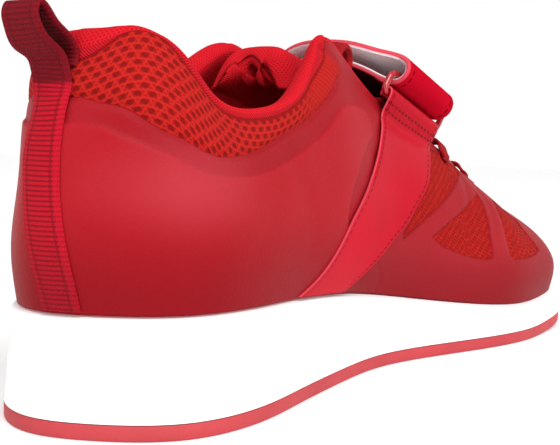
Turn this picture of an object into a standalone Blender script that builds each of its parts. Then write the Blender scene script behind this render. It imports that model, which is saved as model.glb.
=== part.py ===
"""Weightlifting shoe for the left foot, as separate solids.

The shoe stands on the floor, toe along +X, inner (medial) side along -Y, +Z up.
The origin is on the floor under the middle of the heel seat.
Tables are in millimetres for the pattern size and are graded to the driving sizes.
A station is a distance along the shoe from the back of the heel.
A run is a distance along the feather line, where upper meets sole, from the back of
the heel: positive along the inner side, and on past the toe along the outer side.
"""
import math

import bmesh
import bpy
import numpy as np

# Driving sizes, millimetres
SHOE_LENGTH = 299.0
BALL_WIDTH = 103.7
HEEL_HEIGHT = 33.6
UPPER_WALL = 2.2
OUTSOLE_THICKNESS = 4.5
HEEL_SEAT_STATION = 40.0

# The pattern that the tables are drawn for
PATTERN_LENGTH = 299.0
PATTERN_BALL_WIDTH = 103.7
PATTERN_HEEL_HEIGHT = 33.6

LONG = SHOE_LENGTH / PATTERN_LENGTH
WIDE = BALL_WIDTH / PATTERN_BALL_WIDTH
TALL = HEEL_HEIGHT / PATTERN_HEEL_HEIGHT
METRE = 0.001
GAP = 0.3

# Sole outline: station, inner half width, outer half width
OUTLINE = (
    (7, 19.7, 19.7),
    (24, 37.6, 32.8),
    (45, 42.3, 38.7),
    (75, 38.1, 40.0),
    (105, 32.7, 40.5),
    (135, 30.1, 42.5),
    (165, 36.0, 47.0),
    (195, 44.7, 52.5),
    (220, 48.7, 55.0),
    (245, 47.2, 53.0),
    (266, 42.7, 45.5),
    (284, 27.4, 31.0),
    (295, 12.8, 16.0),
)
TOE_TIP = (299.0, -5.1)
SPRING_START = 215.0
SPRING_LENGTH = 84.0
SPRING_RISE = 6.0
FEATHER_INSET = 4.5
RIM_INSET = 2.2
RIM_DROP = 1.0
# Feather line height: station, height
FEATHER_HEIGHT = (
    (-5, 33.6),
    (40, 33.6),
    (120, 28.6),
    (225, 15.2),
    (299, 20.4),
)

# Upper sections around the shoe. The wall starts at the feather line, swells to the belly,
# passes two shoulder points given as shares of the way in and up, and ends at the top edge.
# name, run, belly_out, belly_rise, in_1, up_1, in_2, up_2, top_station, top_side, top_height,
# top_wall, top_roll
UPPER_SECTIONS = (
    ("heel back", 5, 2.2, 20, -0.15, 0.52, 0.25, 0.80, 11.0, -4.5, 104.5, 10, 8),
    ("heel inner", 18, 1.8, 20, -0.02, 0.50, 0.30, 0.78, 16.0, -14.0, 107.2, 10, 5.5),
    ("tendon inner", 29, 1.6, 18, 0.08, 0.50, 0.38, 0.78, 22.5, -19.5, 110.6, 9, 2.5),
    ("quarter inner", 42, 1.5, 17, 0.10, 0.50, 0.45, 0.78, 33.0, -25.2, 104.6, 8, 2.0),
    ("ankle rear inner", 54, 1.5, 16, 0.10, 0.50, 0.45, 0.78, 42.5, -27.8, 93.6, 7, 2.4),
    ("ankle inner", 74, 1.5, 16, 0.08, 0.50, 0.42, 0.78, 61.0, -29.5, 89.2, 7, 2.6),
    ("waist inner", 96, 2.5, 20, -0.10, 0.48, 0.30, 0.78, 80.5, -28.6, 94.6, 7, 3.0),
    ("collar front inner", 112, 4.0, 21, -0.25, 0.46, 0.22, 0.78, 93.0, -25.2, 105.0, 6, 4.0),
    ("throat corner inner", 124, 4.8, 22, -0.35, 0.45, 0.20, 0.78, 102.8, -22.6, 115.3, 4, 2.4),
    ("instep inner", 142, 5.0, 22, -0.33, 0.45, 0.25, 0.78, 122.5, -20.3, 108.6, 3, 1.2),
    ("strap rear inner", 159, 4.0, 20, -0.15, 0.45, 0.32, 0.78, 144.5, -19.5, 96.2, 2.2, 0.8),
    ("strap inner", 180, 2.4, 17, 0.02, 0.46, 0.42, 0.78, 168.0, -19.0, 87.8, 2.2, 0.8),
    ("vamp inner", 208, 1.5, 15, 0.12, 0.48, 0.48, 0.78, 198.0, -17.9, 77.3, 2.2, 0.8),
    ("ball inner", 235, 1.5, 13, 0.12, 0.52, 0.44, 0.78, 217.0, -14.5, 69.8, 2.2, 0.8),
    ("toe inner", 268, 1.5, 12, 0.10, 0.44, 0.42, 0.70, 226.5, -8.0, 67.0, 2.2, 0.8),
    ("toe corner inner", 300, 1.5, 12, 0.08, 0.42, 0.40, 0.66, 230.0, -3.0, 66.0, 2.2, 0.8),
    ("toe tip", 340, 1.5, 12, 0.08, 0.44, 0.40, 0.66, 230.5, 0.5, 65.8, 2.2, 0.8),
    ("toe corner outer", 372, 1.5, 12, 0.09, 0.44, 0.41, 0.67, 229.5, 4.0, 66.0, 2.2, 0.8),
    ("toe outer", 405, 1.5, 12, 0.10, 0.46, 0.42, 0.69, 225.0, 9.5, 67.0, 2.2, 0.8),
    ("ball outer", 436, 1.5, 13, 0.12, 0.50, 0.45, 0.77, 214.0, 15.5, 70.5, 2.2, 0.8),
    ("vamp outer", 464, 1.5, 14, 0.12, 0.48, 0.50, 0.79, 193.0, 18.5, 79.0, 2.2, 0.8),
    ("strap outer", 497, 1.5, 16, 0.08, 0.48, 0.45, 0.80, 160.0, 19.5, 90.6, 2.2, 0.8),
    ("instep outer", 530, 1.5, 18, 0.05, 0.48, 0.40, 0.80, 127.0, 20.5, 106.0, 3, 1.2),
    ("throat corner outer", 549, 1.5, 18, 0.05, 0.48, 0.40, 0.80, 107.0, 22.3, 115.3, 4, 2.2),
    ("collar front outer", 563, 1.5, 18, 0.05, 0.48, 0.40, 0.80, 94.0, 25.8, 110.5, 6, 3.0),
    ("waist outer", 579, 1.5, 18, 0.08, 0.48, 0.40, 0.80, 80.0, 28.6, 101.0, 7, 2.5),
    ("ankle outer", 600, 1.8, 18, 0.10, 0.48, 0.42, 0.80, 60.0, 30.0, 91.0, 7, 2.4),
    ("ankle rear outer", 619, 2.2, 17, 0.12, 0.48, 0.42, 0.80, 43.5, 28.3, 93.5, 7, 2.2),
    ("quarter outer", 630, 2.4, 16, 0.14, 0.50, 0.42, 0.80, 33.0, 25.2, 102.5, 8, 2.0),
    ("tendon outer", 644, 1.8, 15, 0.20, 0.50, 0.45, 0.80, 22.0, 18.0, 108.5, 9, 2.5),
    ("heel outer", 657, 1.6, 16, 0.10, 0.50, 0.38, 0.80, 14.0, 8.0, 106.0, 10, 5.5),
)
BELLY_CARRY = 0.6
COLLAR_PAD_DEPTH = 34.0


# Curves

class ClosedSpline:
    """Smooth closed curve or table of rows, each row at its own parameter."""

    def __init__(self, at, rows, period):
        self.at = np.asarray(at, float)
        self.rows = np.asarray(rows, float)
        self.period = period
        count = len(self.at)
        self.step = np.append(np.diff(self.at), self.at[0] + period - self.at[-1])
        system = np.zeros((count, count))
        target = np.zeros_like(self.rows)
        for i in range(count):
            before = self.step[i - 1]
            after = self.step[i]
            following = (i + 1) % count
            system[i, (i - 1) % count] += after
            system[i, i] += 2 * (before + after)
            system[i, following] += before
            rise_in = (self.rows[i] - self.rows[i - 1]) / before
            rise_out = (self.rows[following] - self.rows[i]) / after
            target[i] = 3 * (after * rise_in + before * rise_out)
        self.slope = np.linalg.solve(system, target)

    def __call__(self, where):
        where = np.asarray(where, float)
        where = (where - self.at[0]) % self.period + self.at[0]
        i = np.clip(np.searchsorted(self.at, where, side="right") - 1, 0, len(self.at) - 1)
        j = (i + 1) % len(self.at)
        step = self.step[i]
        u = (where - self.at[i]) / step
        return hermite(u, step, self.rows[i], self.slope[i], self.rows[j], self.slope[j])


def hermite(u, step, start, start_slope, end, end_slope):
    """Point at share u of a cubic piece, for a scalar u or an array of them."""
    u = np.asarray(u, float)[..., None]
    step = np.asarray(step, float)[..., None]
    return (
        (1 + 2 * u) * (1 - u) ** 2 * start
        + u * (1 - u) ** 2 * step * start_slope
        + u * u * (3 - 2 * u) * end
        + u * u * (u - 1) * step * end_slope
    )


class OpenSpline:
    """Smooth open curve through rows, with free ends."""

    def __init__(self, at, rows):
        self.at = np.asarray(at, float)
        self.rows = np.asarray(rows, float)
        if self.rows.ndim == 1:
            self.rows = self.rows[:, None]
        count = len(self.at)
        step = np.diff(self.at)
        system = np.zeros((count, count))
        target = np.zeros_like(self.rows)
        system[0, 0] = system[-1, -1] = 2
        system[0, 1] = system[-1, -2] = 1
        target[0] = 3 * (self.rows[1] - self.rows[0]) / step[0]
        target[-1] = 3 * (self.rows[-1] - self.rows[-2]) / step[-1]
        for i in range(1, count - 1):
            system[i, i - 1] = step[i]
            system[i, i] = 2 * (step[i - 1] + step[i])
            system[i, i + 1] = step[i - 1]
            rise_in = (self.rows[i] - self.rows[i - 1]) / step[i - 1]
            rise_out = (self.rows[i + 1] - self.rows[i]) / step[i]
            target[i] = 3 * (step[i] * rise_in + step[i - 1] * rise_out)
        self.slope = np.linalg.solve(system, target)
        self.step = step

    def __call__(self, where):
        where = np.clip(np.asarray(where, float), self.at[0], self.at[-1])
        i = np.clip(np.searchsorted(self.at, where, side="right") - 1, 0, len(self.at) - 2)
        u = (where - self.at[i]) / self.step[i]
        return hermite(
            u, self.step[i], self.rows[i], self.slope[i], self.rows[i + 1], self.slope[i + 1]
        )


def chord_spline(points):
    """Open spline through points, its parameter the share of their chord length."""
    points = np.asarray(points, float)
    lengths = np.linalg.norm(np.diff(points, axis=0), axis=1)
    at = np.concatenate([[0.0], np.cumsum(lengths)])
    return OpenSpline(at / at[-1], points)


# Sole plan

def outline_spline():
    """Sole outline from the heel's back along the inner side, over the toe and back."""
    inner = [(s * LONG, -w * WIDE) for s, w, _ in OUTLINE]
    outer = [(s * LONG, w * WIDE) for s, _, w in reversed(OUTLINE)]
    rows = [(0.0, 0.0)] + inner + [(TOE_TIP[0] * LONG, TOE_TIP[1] * WIDE)] + outer
    rows = np.array(rows)
    lengths = np.linalg.norm(np.roll(rows, -1, 0) - rows, axis=1)
    at = np.concatenate([[0.0], np.cumsum(lengths)])
    return ClosedSpline(at[:-1], rows, at[-1])


def outward(curve):
    """Unit normals that point out of a closed plan curve."""
    tangent = np.roll(curve, -1, 0) - np.roll(curve, 1, 0)
    tangent /= np.linalg.norm(tangent, axis=1)[:, None]
    return np.stack([tangent[:, 1], -tangent[:, 0]], 1)


def inset(curve, distance):
    return curve - outward(curve) * distance


PLAN_POINTS = 1440
PLAN_SPLINE = outline_spline()
PLAN = PLAN_SPLINE(np.linspace(0, PLAN_SPLINE.period, PLAN_POINTS, endpoint=False))
FEATHER_PLAN = inset(PLAN, FEATHER_INSET)
FEATHER_NORMAL = outward(FEATHER_PLAN)
FEATHER_RUN = np.concatenate(
    [[0.0], np.cumsum(np.linalg.norm(np.roll(FEATHER_PLAN, -1, 0) - FEATHER_PLAN, axis=1))]
)
FEATHER_PERIOD = FEATHER_RUN[-1]
FEATHER_SPLINE = OpenSpline(
    [s * LONG for s, _ in FEATHER_HEIGHT], [h * TALL for _, h in FEATHER_HEIGHT]
)


def feather_height(station):
    return FEATHER_SPLINE(station)[..., 0]


def spring(station):
    """Height of the outsole's underside."""
    share = np.maximum(0.0, np.asarray(station) - SPRING_START * LONG) / (SPRING_LENGTH * LONG)
    return SPRING_RISE * share ** 2


def plan_at(run, distance):
    """Plan points at runs along the feather line, moved out by distance."""
    run = np.asarray(run, float) % FEATHER_PERIOD
    closed = np.vstack([FEATHER_PLAN, FEATHER_PLAN[:1]])
    normals = np.vstack([FEATHER_NORMAL, FEATHER_NORMAL[:1]])
    point = np.stack([np.interp(run, FEATHER_RUN, closed[:, k]) for k in (0, 1)], -1)
    normal = np.stack([np.interp(run, FEATHER_RUN, normals[:, k]) for k in (0, 1)], -1)
    normal /= np.linalg.norm(normal, axis=-1, keepdims=True)
    return point + normal * distance, normal


# Upper surface

UPPER_TABLE = ClosedSpline(
    [row[1] * LONG for row in UPPER_SECTIONS],
    [
        (
            row[2],
            row[3] * TALL,
            row[4],
            row[5],
            row[6],
            row[7],
            row[8] * LONG,
            row[9] * WIDE,
            row[10] * TALL,
            row[11],
            row[12],
        )
        for row in UPPER_SECTIONS
    ],
    FEATHER_PERIOD,
)


def upper_section(run):
    """Smooth curve of the outer wall at one run, from feather (0) to top edge (1)."""
    row = UPPER_TABLE(run)
    belly_out, belly_rise, in_1, up_1, in_2, up_2 = row[:6]
    top = row[6:9]
    plan, normal = plan_at(run, 0.0)
    foot = np.array([plan[0], plan[1], feather_height(plan[0])])
    away = np.array([normal[0], normal[1], 0.0])
    points = [foot, foot + away * belly_out + np.array([0, 0, belly_rise])]
    for share_in, share_up in ((in_1, up_1), (in_2, up_2)):
        point = foot + (top - foot) * np.array([share_in, share_in, share_up])
        carry = belly_out * BELLY_CARRY * (1 - min(max(share_in, 0.0), 1.0))
        points.append(point + away * carry)
    points.append(top)
    return chord_spline(points)


def upper_grid(runs, shares):
    """Points of the outer wall, one row of shares for each run."""
    return np.array([upper_section(run)(shares) for run in runs])


def grid_normals(grid):
    """Outward unit normals of a grid that closes around its first axis."""
    around = np.roll(grid, -1, 0) - np.roll(grid, 1, 0)
    upward = np.gradient(grid, axis=1)
    normal = np.cross(around, upward)
    return normal / np.linalg.norm(normal, axis=2)[:, :, None]


def smooth_step(x):
    x = np.clip(x, 0, 1)
    return x * x * (3 - 2 * x)


# Mesh helpers

def material(name, colour, roughness, metallic=0.0):
    made = bpy.data.materials.new(name)
    made.use_nodes = True
    shader = made.node_tree.nodes["Principled BSDF"]
    shader.inputs["Base Color"].default_value = (*colour, 1.0)
    shader.inputs["Roughness"].default_value = roughness
    shader.inputs["Metallic"].default_value = metallic
    return made


def place(point):
    """Shoe millimetres to world metres, with the origin under the heel seat."""
    return (
        (point[0] - HEEL_SEAT_STATION) * METRE,
        point[1] * METRE,
        point[2] * METRE,
    )


def new_object(name, mesh_builder, look, smooth_angle=40.0):
    """Object from a bmesh, faces turned out, shaded smooth under an angle."""
    bmesh.ops.recalc_face_normals(mesh_builder, faces=mesh_builder.faces)
    mesh = bpy.data.meshes.new(name)
    mesh_builder.to_mesh(mesh)
    mesh_builder.free()
    mesh.shade_smooth()
    mesh.set_sharp_from_angle(angle=math.radians(smooth_angle))
    mesh.materials.append(look)
    made = bpy.data.objects.new(name, mesh)
    bpy.context.scene.collection.objects.link(made)
    return made


def rings_to_mesh(rings, closed_across=False, cap_start=False, cap_end=False):
    """Quads between rings of equal length, each ring a closed loop of points."""
    made = bmesh.new()
    verts = [[made.verts.new(place(point)) for point in ring] for ring in rings]
    count = len(rings[0])
    pairs = list(zip(verts[:-1], verts[1:]))
    if closed_across:
        pairs.append((verts[-1], verts[0]))
    for lower, upper in pairs:
        for i in range(count):
            j = (i + 1) % count
            made.faces.new((lower[i], lower[j], upper[j], upper[i]))
    if cap_start:
        cap_across(made, verts[0])
    if cap_end:
        cap_across(made, verts[-1])
    return made


def cap_across(made, ring):
    """Closes a loop that is symmetric in count with strips from side to side."""
    count = len(ring)
    half = count // 2
    made.faces.new((ring[0], ring[1], ring[count - 1]))
    for i in range(1, half - 1):
        made.faces.new((ring[i], ring[i + 1], ring[count - i - 1], ring[count - i]))
    made.faces.new((ring[half - 1], ring[half], ring[half + 1]))


# Sole pieces

SOLE_POINTS = 80


def sole_ring(inset_distance, height):
    """Closed ring of the sole plan at an inset, height a function of station."""
    picks = np.linspace(0, PLAN_POINTS, SOLE_POINTS, endpoint=False).astype(int)
    plan = inset(PLAN, inset_distance)[picks]
    return [(x, y, float(height(x))) for x, y in plan]


GROOVE_WIDTH = 2.4
GROOVE_DEPTH = 1.4
GROOVE_STATIONS = (16, 28, 58, 70, 172, 184, 212, 224, 236, 248, 260, 272)


def build_outsole(look):
    """Rubber outsole with toe spring and grooves across its underside."""
    edge = 0.6
    rings = [
        sole_ring(edge, spring),
        sole_ring(0.0, lambda s: spring(s) + edge),
        sole_ring(0.0, lambda s: spring(s) + OUTSOLE_THICKNESS),
    ]
    made = new_object("outsole", rings_to_mesh(rings, cap_start=True, cap_end=True), look)
    cutters = bmesh.new()
    for station in GROOVE_STATIONS:
        floor = float(spring(station * LONG))
        bottom = floor - 3.0
        top = floor + GROOVE_DEPTH
        corners = []
        for height in (bottom, top):
            for x, y in ((-1, -1), (1, -1), (1, 1), (-1, 1)):
                along = station * LONG + x * GROOVE_WIDTH / 2
                corners.append(cutters.verts.new(place((along, y * BALL_WIDTH, height))))
        for face in ((0, 1, 2, 3), (4, 5, 6, 7)):
            cutters.faces.new([corners[k] for k in face])
        for k in range(4):
            cutters.faces.new([corners[i] for i in (k, (k + 1) % 4, (k + 1) % 4 + 4, k + 4)])
    cutter = new_object("outsole_groove_cutter", cutters, look)
    cutter.hide_render = True
    cutter.display_type = "WIRE"
    cut = made.modifiers.new("grooves", "BOOLEAN")
    cut.operation = "DIFFERENCE"
    cut.object = cutter
    return made


def build_midsole(look):
    """White wedge under the upper, with a narrow ledge around the feather line."""
    def rim(station):
        return feather_height(station) - RIM_DROP

    def seat(station):
        return feather_height(station) - GAP

    def base(station):
        return spring(station) + OUTSOLE_THICKNESS + GAP

    rim_round = 1.0
    rings = [
        sole_ring(0.0, base),
        sole_ring(RIM_INSET, lambda s: rim(s) - rim_round),
        sole_ring(RIM_INSET + 0.3, lambda s: rim(s) - 0.3),
        sole_ring(RIM_INSET + rim_round, rim),
        sole_ring(FEATHER_INSET - 0.2, lambda s: rim(s) + 0.3),
        sole_ring(FEATHER_INSET + 0.5, seat),
    ]
    return new_object("midsole", rings_to_mesh(rings, cap_start=True, cap_end=True), look)


INSOLE_THICKNESS = 3.5


def build_insole(look):
    """Footbed that lies on the midsole inside the upper's wall."""
    wall = FEATHER_INSET + UPPER_WALL + GAP + 0.4
    rings = [
        sole_ring(wall, feather_height),
        sole_ring(wall, lambda s: feather_height(s) + INSOLE_THICKNESS - 0.8),
        sole_ring(wall + 0.8, lambda s: feather_height(s) + INSOLE_THICKNESS),
    ]
    return new_object("insole", rings_to_mesh(rings, cap_start=True, cap_end=True), look)


# Upper

UPPER_RUNS = 104
UPPER_OUTER_ROWS = 13
UPPER_INNER_ROWS = 8
ROLL_STEPS = 3


def build_upper(look):
    """One hollow wall, padded and rolled over at the collar, open at throat and sole."""
    runs = np.linspace(0, FEATHER_PERIOD, UPPER_RUNS, endpoint=False)
    shares = np.linspace(0, 1, UPPER_OUTER_ROWS)
    outer = upper_grid(runs, shares)
    normals = grid_normals(outer)
    table = UPPER_TABLE(runs)
    top_wall = table[:, 9]
    top_roll = table[:, 10]
    steps = np.linalg.norm(np.diff(outer, axis=1), axis=2)
    risen = np.concatenate([np.zeros((len(runs), 1)), np.cumsum(steps, 1)], 1)
    below_top = risen[:, -1:] - risen
    padding = smooth_step(1 - below_top / COLLAR_PAD_DEPTH)
    thickness = UPPER_WALL + (top_wall[:, None] - UPPER_WALL) * padding
    inner = outer - normals * thickness[:, :, None]
    middle = (outer[:, -1] + inner[:, -1]) / 2
    half = (outer[:, -1] - inner[:, -1]) / 2
    angles = np.linspace(0, math.pi, ROLL_STEPS + 2)[1:-1]
    up = np.array([0.0, 0.0, 1.0])
    roll = [
        middle + half * math.cos(a) + up * (top_roll * math.sin(a))[:, None] for a in angles
    ]
    inner_picks = np.linspace(UPPER_OUTER_ROWS - 1, 0, UPPER_INNER_ROWS).round().astype(int)
    rings = [outer[:, k] for k in range(UPPER_OUTER_ROWS)]
    rings += roll
    rings += [inner[:, k] for k in inner_picks]
    return new_object("upper", rings_to_mesh(rings, closed_across=True), look, 50.0)


# Tongue: station, crest height, half width, edge height, thickness, side, squareness
TONGUE_SECTIONS = (
    (226, 59.5, 9, 56.0, 3.0, 0.0, 2.0),
    (212, 65.0, 15, 60.0, 3.5, 0.0, 2.0),
    (190, 75.5, 20, 67.0, 4.0, 0.0, 2.0),
    (168, 85.0, 22, 74.0, 5.0, 0.0, 2.0),
    (146, 95.0, 22, 80.0, 6.0, 0.0, 2.2),
    (126, 105.5, 18.5, 88.0, 7.5, 0.5, 3.0),
    (110, 112.5, 16.0, 96.0, 9.0, 1.0, 4.0),
    (98, 115.5, 16.0, 100.0, 9.0, 1.5, 4.5),
)
TONGUE_ACROSS = 13
TONGUE_ALONG = 15


def tongue_spline():
    stations = [row[0] for row in TONGUE_SECTIONS]
    at = [stations[0] - s for s in stations]
    return OpenSpline(at, [row for row in TONGUE_SECTIONS]), at[-1]


def build_tongue(look):
    """Padded tongue under the throat, domed across and thicker towards its top."""
    rows, last = tongue_spline()
    rings = []
    for t in np.linspace(0, last, TONGUE_ALONG):
        station, crest, half, edge, thick, side, square = rows(t)
        ahead = rows(min(t + 1, last))[:2] - rows(max(t - 1, 0))[:2]
        lean = np.array([-ahead[1], 0, ahead[0]]) / np.linalg.norm(ahead)
        if lean[2] < 0:
            lean = -lean
        top = []
        under = []
        for u in np.linspace(-1, 1, TONGUE_ACROSS):
            point = np.array(
                [station, side + u * half, crest - (crest - edge) * abs(u) ** square]
            )
            pad = thick * (1 - 0.75 * u ** 4)
            top.append(point)
            under.append(point - lean * pad)
        rings.append(top + under[::-1])
    made = bmesh.new()
    verts = [[made.verts.new(place(p)) for p in ring] for ring in rings]
    count = len(rings[0])
    for a, b in zip(verts[:-1], verts[1:]):
        for i in range(count):
            j = (i + 1) % count
            made.faces.new((a[i], a[j], b[j], b[i]))
    for ring in (verts[0], verts[-1]):
        for i in range(TONGUE_ACROSS - 1):
            made.faces.new((ring[i], ring[i + 1], ring[count - i - 2], ring[count - i - 1]))
    return new_object("tongue", made, look)


# Ribbons: bands, strap, webbing and laces

def unit(vector):
    return vector / np.linalg.norm(vector)


def wall_point(run, share, lift):
    """Point of the outer wall moved out along its normal by lift."""
    reach = 1.5
    step = 0.01
    high = min(share + step, 1.0)
    low = high - 2 * step
    along = upper_section(run + reach)(share) - upper_section(run - reach)(share)
    section = upper_section(run)
    normal = unit(np.cross(along, section(high) - section(low)))
    return section(share) + normal * lift


def wall_row(share, rear_run, front_run, lift, across):
    """Row of points across a band that lies on the wall."""
    return [
        wall_point(run, share, lift) for run in np.linspace(rear_run, front_run, across)
    ]


def free_row(rear, front, across):
    """Straight row of points across a band that is clear of the wall."""
    rear = np.array(rear, float)
    front = np.array(front, float)
    return [rear + (front - rear) * t for t in np.linspace(0, 1, across)]


TURN_WEIGHT = 10.0
FINE_ROWS = 500


def smooth_rows(rows, count):
    """Rows along smooth curves through the given rows, closer together in the bends."""
    rows = np.array(rows, float)
    middle = rows.mean(axis=1)
    lengths = np.linalg.norm(np.diff(middle, axis=0), axis=1)
    at = np.concatenate([[0.0], np.cumsum(lengths)])
    flat = OpenSpline(at, rows.reshape(len(rows), -1))
    fine = np.linspace(0, at[-1], FINE_ROWS)
    steps = np.diff(flat(fine).reshape(FINE_ROWS, rows.shape[1], 3).mean(axis=1), axis=0)
    lengths = np.linalg.norm(steps, axis=1)
    heading = steps / lengths[:, None]
    turns = np.arccos(np.clip((heading[1:] * heading[:-1]).sum(axis=1), -1, 1))
    measure = np.cumsum(lengths + TURN_WEIGHT * np.concatenate([[0.0], turns]))
    measure = np.concatenate([[0.0], measure])
    picked = np.interp(np.linspace(0, measure[-1], count), measure, fine)
    return flat(picked).reshape(count, rows.shape[1], 3)


def build_ribbon(name, rows, thickness, look):
    """Closed band of even thickness around a sheet given by rows of points."""
    sheet = np.array(rows, float)
    along = np.gradient(sheet, axis=0)
    across = np.gradient(sheet, axis=1)
    normal = np.cross(along, across)
    normal /= np.linalg.norm(normal, axis=2)[:, :, None]
    made = bmesh.new()
    sides = []
    for sign in (0.5, -0.5):
        face_points = sheet + normal * thickness * sign
        sides.append([[made.verts.new(place(p)) for p in row] for row in face_points])
    top, under = sides
    last_row = len(top) - 1
    last_column = len(top[0]) - 1
    for i in range(last_row):
        for j in range(last_column):
            made.faces.new((top[i][j], top[i][j + 1], top[i + 1][j + 1], top[i + 1][j]))
            made.faces.new(
                (under[i][j], under[i + 1][j], under[i + 1][j + 1], under[i][j + 1])
            )
        for j in (0, last_column):
            made.faces.new((top[i][j], top[i + 1][j], under[i + 1][j], under[i][j]))
    for j in range(last_column):
        for i in (0, last_row):
            made.faces.new((top[i][j], under[i][j], under[i][j + 1], top[i][j + 1]))
    return new_object(name, made, look)


def build_tube_ring(name, path, radius, sides, look):
    """Closed round wire along a closed path of points."""
    path = np.array(path, float)
    plane = unit(np.cross(path[len(path) // 3] - path[0], path[2 * len(path) // 3] - path[0]))
    tangent = np.roll(path, -1, 0) - np.roll(path, 1, 0)
    rings = []
    for k in range(sides):
        angle = 2 * math.pi * k / sides
        out = np.cross(tangent, plane)
        out /= np.linalg.norm(out, axis=1)[:, None]
        rings.append(path + out * radius * math.cos(angle) + plane * radius * math.sin(angle))
    return new_object(name, rings_to_mesh(rings, closed_across=True), look, 60.0)


# Inner strap anchor on the wall: share up the wall, rear run, front run
INNER_ANCHOR = (
    (0.01, 95.0, 127.0),
    (0.10, 107.5, 140.0),
    (0.20, 116.5, 149.0),
    (0.30, 124.0, 156.8),
    (0.40, 131.8, 165.3),
    (0.52, 139.2, 172.8),
    (0.65, 146.6, 180.4),
    (0.75, 151.0, 183.5),
    (0.85, 154.5, 186.5),
    (0.92, 156.8, 189.0),
)
BAND_THICKNESS = 1.2
BAND_LIFT = 1.1
# Ring bars: station, side, height of each end of the bar's axis
RING_LOW_REAR = (140.8, -23.4, 100.9)
RING_LOW_FRONT = (180.8, -22.8, 86.8)
RING_HIGH_REAR = (146.0, -24.0, 108.0)
RING_HIGH_FRONT = (186.0, -23.4, 93.9)
RING_WIRE = 1.25
RING_CORNER = 3.0
SLEEVE_RADIUS = RING_WIRE + GAP + BAND_THICKNESS / 2
SLEEVE_TURNS = (-20, 25, 70, 115, 160, 200)
ANCHOR_ROWS = 26
ANCHOR_ACROSS = 5


def bar_frame(rear, front):
    """Unit vectors along a ring bar, out of the shoe and up across it."""
    along = unit(np.array(front) - np.array(rear))
    out = unit(np.cross(along, (0.0, 0.0, 1.0)))
    return along, out, np.cross(out, along)


def bar_row(rear, front, margin, turn, radius, across, shift=(0.0, 0.0, 0.0)):
    """Row around a ring bar at a turn in degrees, from out (0) over the top (90)."""
    along, out, up = bar_frame(rear, front)
    angle = math.radians(turn)
    offset = (out * math.cos(angle) + up * math.sin(angle)) * radius + np.array(shift)
    start = np.array(rear) + along * margin + offset
    end = np.array(front) - along * margin + offset
    return free_row(start, end, across)


def build_inner_anchor(look):
    """Band sewn to the inner wall, its top turned round the ring's lower bar."""
    rows = [
        wall_row(share, rear, front, BAND_LIFT, ANCHOR_ACROSS)
        for share, rear, front in INNER_ANCHOR
    ]
    margin = RING_WIRE + 1.2
    rows += [
        bar_row(RING_LOW_REAR, RING_LOW_FRONT, margin, turn, SLEEVE_RADIUS, ANCHOR_ACROSS)
        for turn in SLEEVE_TURNS
    ]
    return build_ribbon(
        "strap_anchor_inner", smooth_rows(rows, ANCHOR_ROWS), BAND_THICKNESS, look
    )


def rounded_loop(corners, radius, steps):
    """Closed path through four corners with round turns."""
    corners = [np.array(c, float) for c in corners]
    path = []
    for i, corner in enumerate(corners):
        back = unit(corners[i - 1] - corner)
        ahead = unit(corners[(i + 1) % 4] - corner)
        start = corner + back * radius
        end = corner + ahead * radius
        for t in np.linspace(0, 1, steps):
            path.append((1 - t) ** 2 * start + 2 * t * (1 - t) * corner + t * t * end)
    return path


def build_ring(look):
    corners = (RING_LOW_REAR, RING_LOW_FRONT, RING_HIGH_FRONT, RING_HIGH_REAR)
    path = rounded_loop(corners, RING_CORNER, 6)
    return build_tube_ring("strap_ring", path, RING_WIRE, 8, look)


# Strap over the throat, from the outer sole edge to the ring and back.
# Outer wall part: share up the wall, rear run, front run
OUTER_ANCHOR = (
    (0.01, 563.0, 529.0),
    (0.20, 554.0, 519.0),
    (0.45, 539.0, 503.0),
    (0.70, 526.0, 489.0),
)
# Free part, lower layer from the outer side to the ring: rear station, front station,
# side, rear height, front height
LOWER_LAYER = (
    (140.0, 177.0, 25.6, 99.5, 87.5),
    (139.5, 176.5, 21.8, 107.5, 95.5),
    (139.0, 176.0, 14.0, 112.2, 99.5),
    (139.5, 176.5, 3.0, 112.6, 99.8),
    (141.0, 178.0, -8.0, 110.8, 98.0),
    (144.0, 179.5, -16.5, 107.2, 94.6),
)
UPPER_LAYER = (
    (146.5, 180.5, -17.0, 115.6, 102.6),
    (142.5, 178.5, -8.0, 118.2, 105.2),
    (139.5, 176.5, 3.0, 119.2, 106.2),
    (138.5, 175.5, 13.0, 118.6, 105.8),
    (138.0, 175.0, 21.5, 115.0, 102.4),
    (138.0, 175.0, 27.0, 107.8, 95.5),
    (138.0, 175.0, 31.0, 98.6, 87.0),
)
# End of the upper layer on the outer wall: share, rear run, front run
STRAP_END = (
    (0.60, 533.0, 497.0),
    (0.46, 539.5, 505.0),
    (0.36, 541.5, 513.0),
)
STRAP_THICKNESS = 2.4
STRAP_LIFT = 1.6
STRAP_END_LIFT = STRAP_LIFT + STRAP_THICKNESS + 0.7
BEND_TURNS = (-70, -35, 0, 35, 70)
BEND_RADIUS = 4.7
BEND_RISE = 1.8
STRAP_MARGIN = 3.2
STRAP_ROWS = 60
STRAP_ACROSS = 4


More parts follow.
